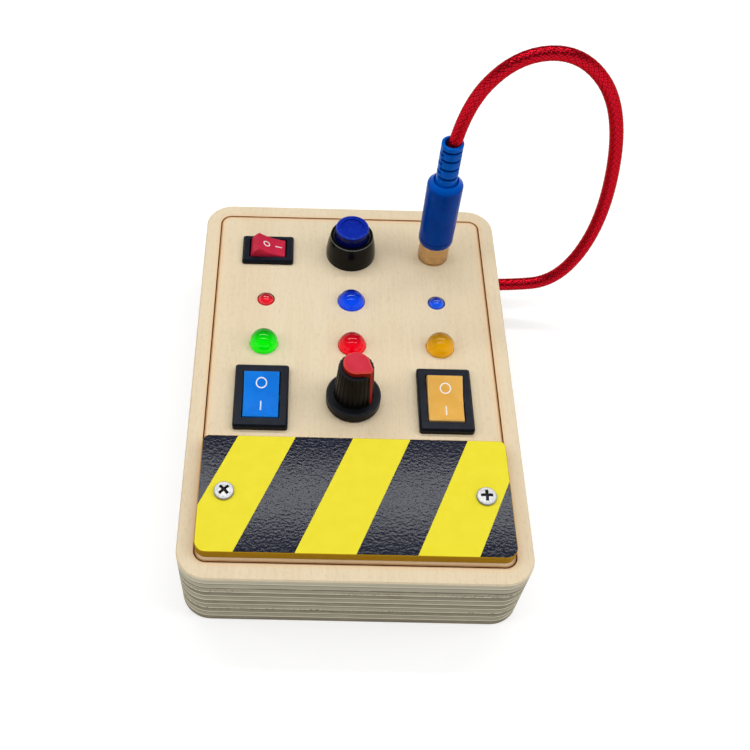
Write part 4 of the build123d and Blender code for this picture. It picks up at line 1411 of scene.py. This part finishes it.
@dataclass
class BraidedCord:
    """Red braided cord from the plug, over a loop, into the right wall."""

    route: Tuple[Triple, ...] = (
        (25.4, 45.1, 56.4),
        (25.4, 45.1, 78.0),
        (36.8, 46.6, 96.5),
        (54.5, 47.5, 97.8),
        (69.3, 47.4, 79.8),
        (74.6, 46.4, 41.0),
        (66.8, 44.8, 15.2),
        (49.6, 44.8, 12.1),
        (35.0, 44.8, 12.5),
    )
    radius: float = 1.9
    relief: float = 0.16
    carriers: int = 14
    lay_length: float = 15.0
    sides: int = 96
    ring_step: float = 0.24
    route_steps: int = 48
    crown_power: float = 0.32
    arch_power: float = 0.5
    arch_floor: float = 0.5
    bend_start: Triple = (45.0, 45.0, 25.0)
    bend_end: Triple = (20.0, 45.0, 50.0)

    def centre_line(self) -> List[Vector]:
        """Read the smooth line that the route's spline makes.

        Returns:
            Points along the line, in metres.
        """
        curve = bpy.data.curves.new("cord_route", "CURVE")
        curve.dimensions = "3D"
        curve.resolution_u = self.route_steps
        spline = curve.splines.new("NURBS")
        spline.points.add(len(self.route) - 1)
        for point, place in zip(spline.points, self.route):
            point.co = (*[part * MM for part in place], 1.0)
        spline.order_u = 3
        spline.use_endpoint_u = True
        holder = bpy.data.objects.new("cord_route", curve)
        line = bpy.data.meshes.new_from_object(holder)
        points = [vertex.co.copy() for vertex in line.vertices]
        bpy.data.objects.remove(holder)
        bpy.data.meshes.remove(line)
        bpy.data.curves.remove(curve)
        return points

    def even_line(self, points: Sequence[Vector]) -> Tuple[List[Vector], float]:
        """Space the points of a line evenly.

        Args:
            points: Points along the line.

        Returns:
            The evenly spaced points and the line's length.
        """
        runs = [(b - a).length for a, b in zip(points, points[1:])]
        length = sum(runs)
        count = round(length / (self.ring_step * MM))
        even, at, passed = [points[0]], 0, 0.0
        for step in range(1, count):
            wanted = length * step / count
            while passed + runs[at] < wanted:
                passed += runs[at]
                at += 1
            even.append(points[at].lerp(points[at + 1], (wanted - passed) / runs[at]))
        return even + [points[-1]], length

    def strand_height(self, along: float, turn: float) -> float:
        """Height of the braid, from zero in a hollow to one on a strand.

        Args:
            along: Length along the cord, as a share of the lay.
            turn: Place round the cord, as a share of a turn.

        Returns:
            The height.
        """
        right = (turn + along) * self.carriers
        left = (turn - along) * self.carriers
        over = (math.floor(right / 2) + math.floor(left / 2)) % 2
        across = right if over else left
        down = left if over else right
        crown = math.sin(math.pi * (across % 1.0))
        arch = math.sin(math.pi * (down / 2 % 1.0))
        lift = self.arch_floor + (1.0 - self.arch_floor) * arch**self.arch_power
        return crown**self.crown_power * lift

    def build(self, shell: Object) -> None:
        """Args:
            shell: The plug's shell; not used.
        """
        line, length = self.even_line(self.centre_line())
        normal = Vector((0.0, 1.0, 0.0))
        vertices: List[Vector] = []
        heights: List[float] = []
        for ring, centre in enumerate(line):
            ahead = line[min(ring + 1, len(line) - 1)] - line[max(ring - 1, 0)]
            ahead.normalize()
            normal = (normal - ahead * normal.dot(ahead)).normalized()
            side = ahead.cross(normal)
            along = length * ring / (len(line) - 1) / (self.lay_length * MM)
            for step in range(self.sides):
                turn = step / self.sides
                height = self.strand_height(along, turn)
                reach = (self.radius - self.relief * (1.0 - height)) * MM
                angle = 2 * math.pi * turn
                vertices.append(centre + (normal * math.cos(angle) + side * math.sin(angle)) * reach)
                heights.append(height)
        mesh = bpy.data.meshes.new("cord_braid")
        mesh.from_pydata(vertices, [], tube_faces(len(line), self.sides))
        mesh.attributes.new("strand_height", "FLOAT", "POINT").data.foreach_set("value", heights)
        piece = new_piece("cord_braid", mesh, BraidYarn("braid_yarn").material(), "cord")
        start, end = [tuple(part * MM for part in place) for place in (self.bend_start, self.bend_end)]
        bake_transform(piece)
        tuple(start)
        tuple(end)
        tuple(line[-1])
        [tuple(point) for point in line]
        LOG.info("cord_braid is %.1f mm long with %d rings", length / MM, len(line))


@dataclass(frozen=True)
class Softbox:
    """Soft lamp that faces the part. At a level of one it looks white."""

    name: str
    place: Triple
    size: Tuple[float, float]
    level: float
    mirrored: bool = True

    def hang(self) -> None:
        """Hang the lamp, which shows in glossy surfaces only if it is mirrored."""
        data = bpy.data.lights.new(self.name, "AREA")
        data.shape = "RECTANGLE"
        data.size, data.size_y = [side * MM for side in self.size]
        data.energy = self.level * math.pi * data.size * data.size_y
        lamp = bpy.data.objects.new(self.name, data)
        lamp.visible_glossy = self.mirrored
        lamp.location = Vector(self.place) * MM
        lamp.rotation_euler = (-lamp.location).to_track_quat("-Z", "Y").to_euler()
        bpy.context.scene.collection.objects.link(lamp)


@dataclass
class Studio:
    """Pale floor, soft lamps and the camera at the photograph's place."""

    image: float = 750.0
    focal: float = 986.1
    principal: Tuple[float, float] = (305.81, 396.47)
    sensor: float = 36.0
    camera_place: Triple = (-15.658, -165.854, 249.487)
    camera_right: Triple = (0.999692, 0.013423, 0.020869)
    camera_up: Triple = (-0.022949, 0.820028, 0.571863)
    floor_size: float = 6000.0
    floor_colour: Colour = (0.55, 0.55, 0.55)
    floor_near: Colour = (0.65, 0.65, 0.65)
    floor_far: Colour = WHITE
    floor_glow: float = 0.86
    lit_reach: Tuple[float, float] = (250.0, 1500.0)
    ambient: float = 0.27
    ceiling: float = 0.14
    wall_top: float = 0.15
    ceiling_from: float = 0.5
    softboxes: Tuple[Softbox, ...] = (
        Softbox("far_strip", (0.0, 377.0, 780.0), (1100.0, 70.0), 12.3),
        Softbox("top_strip", (0.0, -115.0, 780.0), (1100.0, 60.0), 6.5),
        Softbox("front_fill", (0.0, -900.0, 200.0), (1100.0, 100.0), 2.5, mirrored=False),
        Softbox("left_fill", (-800.0, -30.0, 600.0), (600.0, 600.0), 2.1, mirrored=False),
        Softbox("right_fill", (800.0, -30.0, 600.0), (600.0, 600.0), 2.7, mirrored=False),
    )

    def build(self) -> None:
        """Set the stage."""
        bpy.context.scene.view_settings.view_transform = "Standard"
        self.make_camera()
        self.make_floor()
        self.make_world()
        for softbox in self.softboxes:
            softbox.hang()

    def make_camera(self) -> None:
        """Place the camera from its fitted axes."""
        data = bpy.data.cameras.new("camera")
        data.sensor_width = self.sensor
        data.lens = self.focal / self.image * self.sensor
        data.shift_x = (self.image / 2 - self.principal[0]) / self.image
        data.shift_y = (self.principal[1] - self.image / 2) / self.image
        data.clip_start = 0.01
        right, up = Vector(self.camera_right), Vector(self.camera_up)
        back = right.cross(up)
        turn = Matrix((right, up, back)).transposed().to_4x4()
        camera = bpy.data.objects.new("camera", data)
        camera.matrix_world = Matrix.Translation(Vector(self.camera_place) * MM) @ turn
        bpy.context.scene.collection.objects.link(camera)
        bpy.context.scene.camera = camera

    def make_floor(self) -> None:
        """Lay a pale floor that looks white and keeps the shadow."""
        half = self.floor_size / 2 * MM
        mesh = bpy.data.meshes.new("floor")
        corners = [(-half, -half, 0), (half, -half, 0), (half, half, 0), (-half, half, 0)]
        mesh.from_pydata(corners, [], [(0, 1, 2, 3)])
        floor = bpy.data.objects.new("floor", mesh)
        bpy.context.scene.collection.objects.link(floor)
        sheet = ShaderSheet.named("floor_paper")
        away = (sheet.x * sheet.x + sheet.y * sheet.y).root().ramp(*self.lit_reach)
        white = sheet.mix(away, self.floor_near, self.floor_far)
        mesh.materials.append(
            sheet.finish(
                Base_Color=self.floor_colour,
                Roughness=0.9,
                Specular_IOR_Level=0.1,
                Emission_Color=sheet.mix(sheet.seen(), UNLIT, white),
                Emission_Strength=self.floor_glow,
            )
        )

    def make_world(self) -> None:
        """Light from all round: a white backdrop low down, and a dim ceiling over it in reflections."""
        world = bpy.data.worlds.new("studio")
        bpy.context.scene.world = world
        sheet = ShaderSheet(world)
        height = sheet.parts(sheet.add("ShaderNodeTexCoord", output="Generated"))[2]
        backdrop = 1.0 - height.ramp(self.wall_top, self.ceiling_from) * (1.0 - self.ceiling)
        strength = sheet.seen() * (backdrop - self.ambient) + self.ambient
        light = sheet.add("ShaderNodeBackground", None, {"Color": WHITE, "Strength": strength})
        sheet.close("ShaderNodeOutputWorld", light)


def main() -> None:
    """Build the stage, then each sub-assembly in order."""
    logging.basicConfig(level=logging.INFO)
    Studio().build()
    metal = Metal("plated_steel", (0.60, 0.60, 0.61), (0.40, 0.39, 0.37)).material()
    contact = Metal("contact_brass", (0.66, 0.47, 0.21), (0.42, 0.27, 0.11), 0.28).material()
    BraidedCord().build(SocketAndPlug().build(metal, contact))
    bezel = Plastic(
        "bezel_plastic",
        # Black plastic painted as lit and shaded copies: a bluish sheen painted on the top, painted shade
        # on the sides, a painted highlight on the eased edges.
        (0.008, 0.0105, 0.019),
        (0.0105, 0.014, 0.024),
        roughness=0.34,
        shine=0.12,
        # Painted shade on faces that don't face up, and a painted highlight on eased faces.
        side=(0.002, 0.002, 0.003),
        worn=(0.004, 0.005, 0.008),
    ).material()
    WoodenBox().build()
    BatteryBay().build()
    rockers = (
        RockerSwitch(
            "mini_rocker",
            (0.54, 0.016, 0.050),
            (0.60, 0.022, 0.060),
            ring_offset=0.4,
            bar_offset=3.2,
            ring_radius=0.85,
            bar_length=2.0,
            stroke=0.32,
            along_x=True,
        ),
        RockerSwitch(
            "blue_rocker",
            (0.0, 0.165, 0.70),
            (0.0, 0.195, 0.78),
            ring_offset=3.0,
            bar_offset=3.8,
            # Painted highlight on the paddle's eased edges.
            edge=(0.02, 0.30, 0.90),
        ),
        RockerSwitch(
            "yellow_rocker",
            (0.76, 0.40, 0.070),
            (0.80, 0.44, 0.090),
            ring_offset=2.6,
            bar_offset=4.1,
            # Painted highlight on the paddle's eased edges.
            edge=(0.92, 0.62, 0.24),
        ),
    )
    for rocker in rockers:
        rocker.build(bezel, contact)
    PushButton().build(metal, contact)
    TurnKnob().build(metal)
    lamps = {
        "large_blue_lamp": LampColour.BLUE,
        "large_green_lamp": LampColour.GREEN,
        "large_red_lamp": LampColour.RED,
        "large_yellow_lamp": LampColour.AMBER,
        "small_red_lamp": LampColour.SMALL_RED,
        "small_blue_lamp": LampColour.SMALL_BLUE,
    }
    for node, tint in lamps.items():
        Lamp(node, tint).build()
    dress(metal, "lamp_leads")


if __name__ == "__main__":
    main()
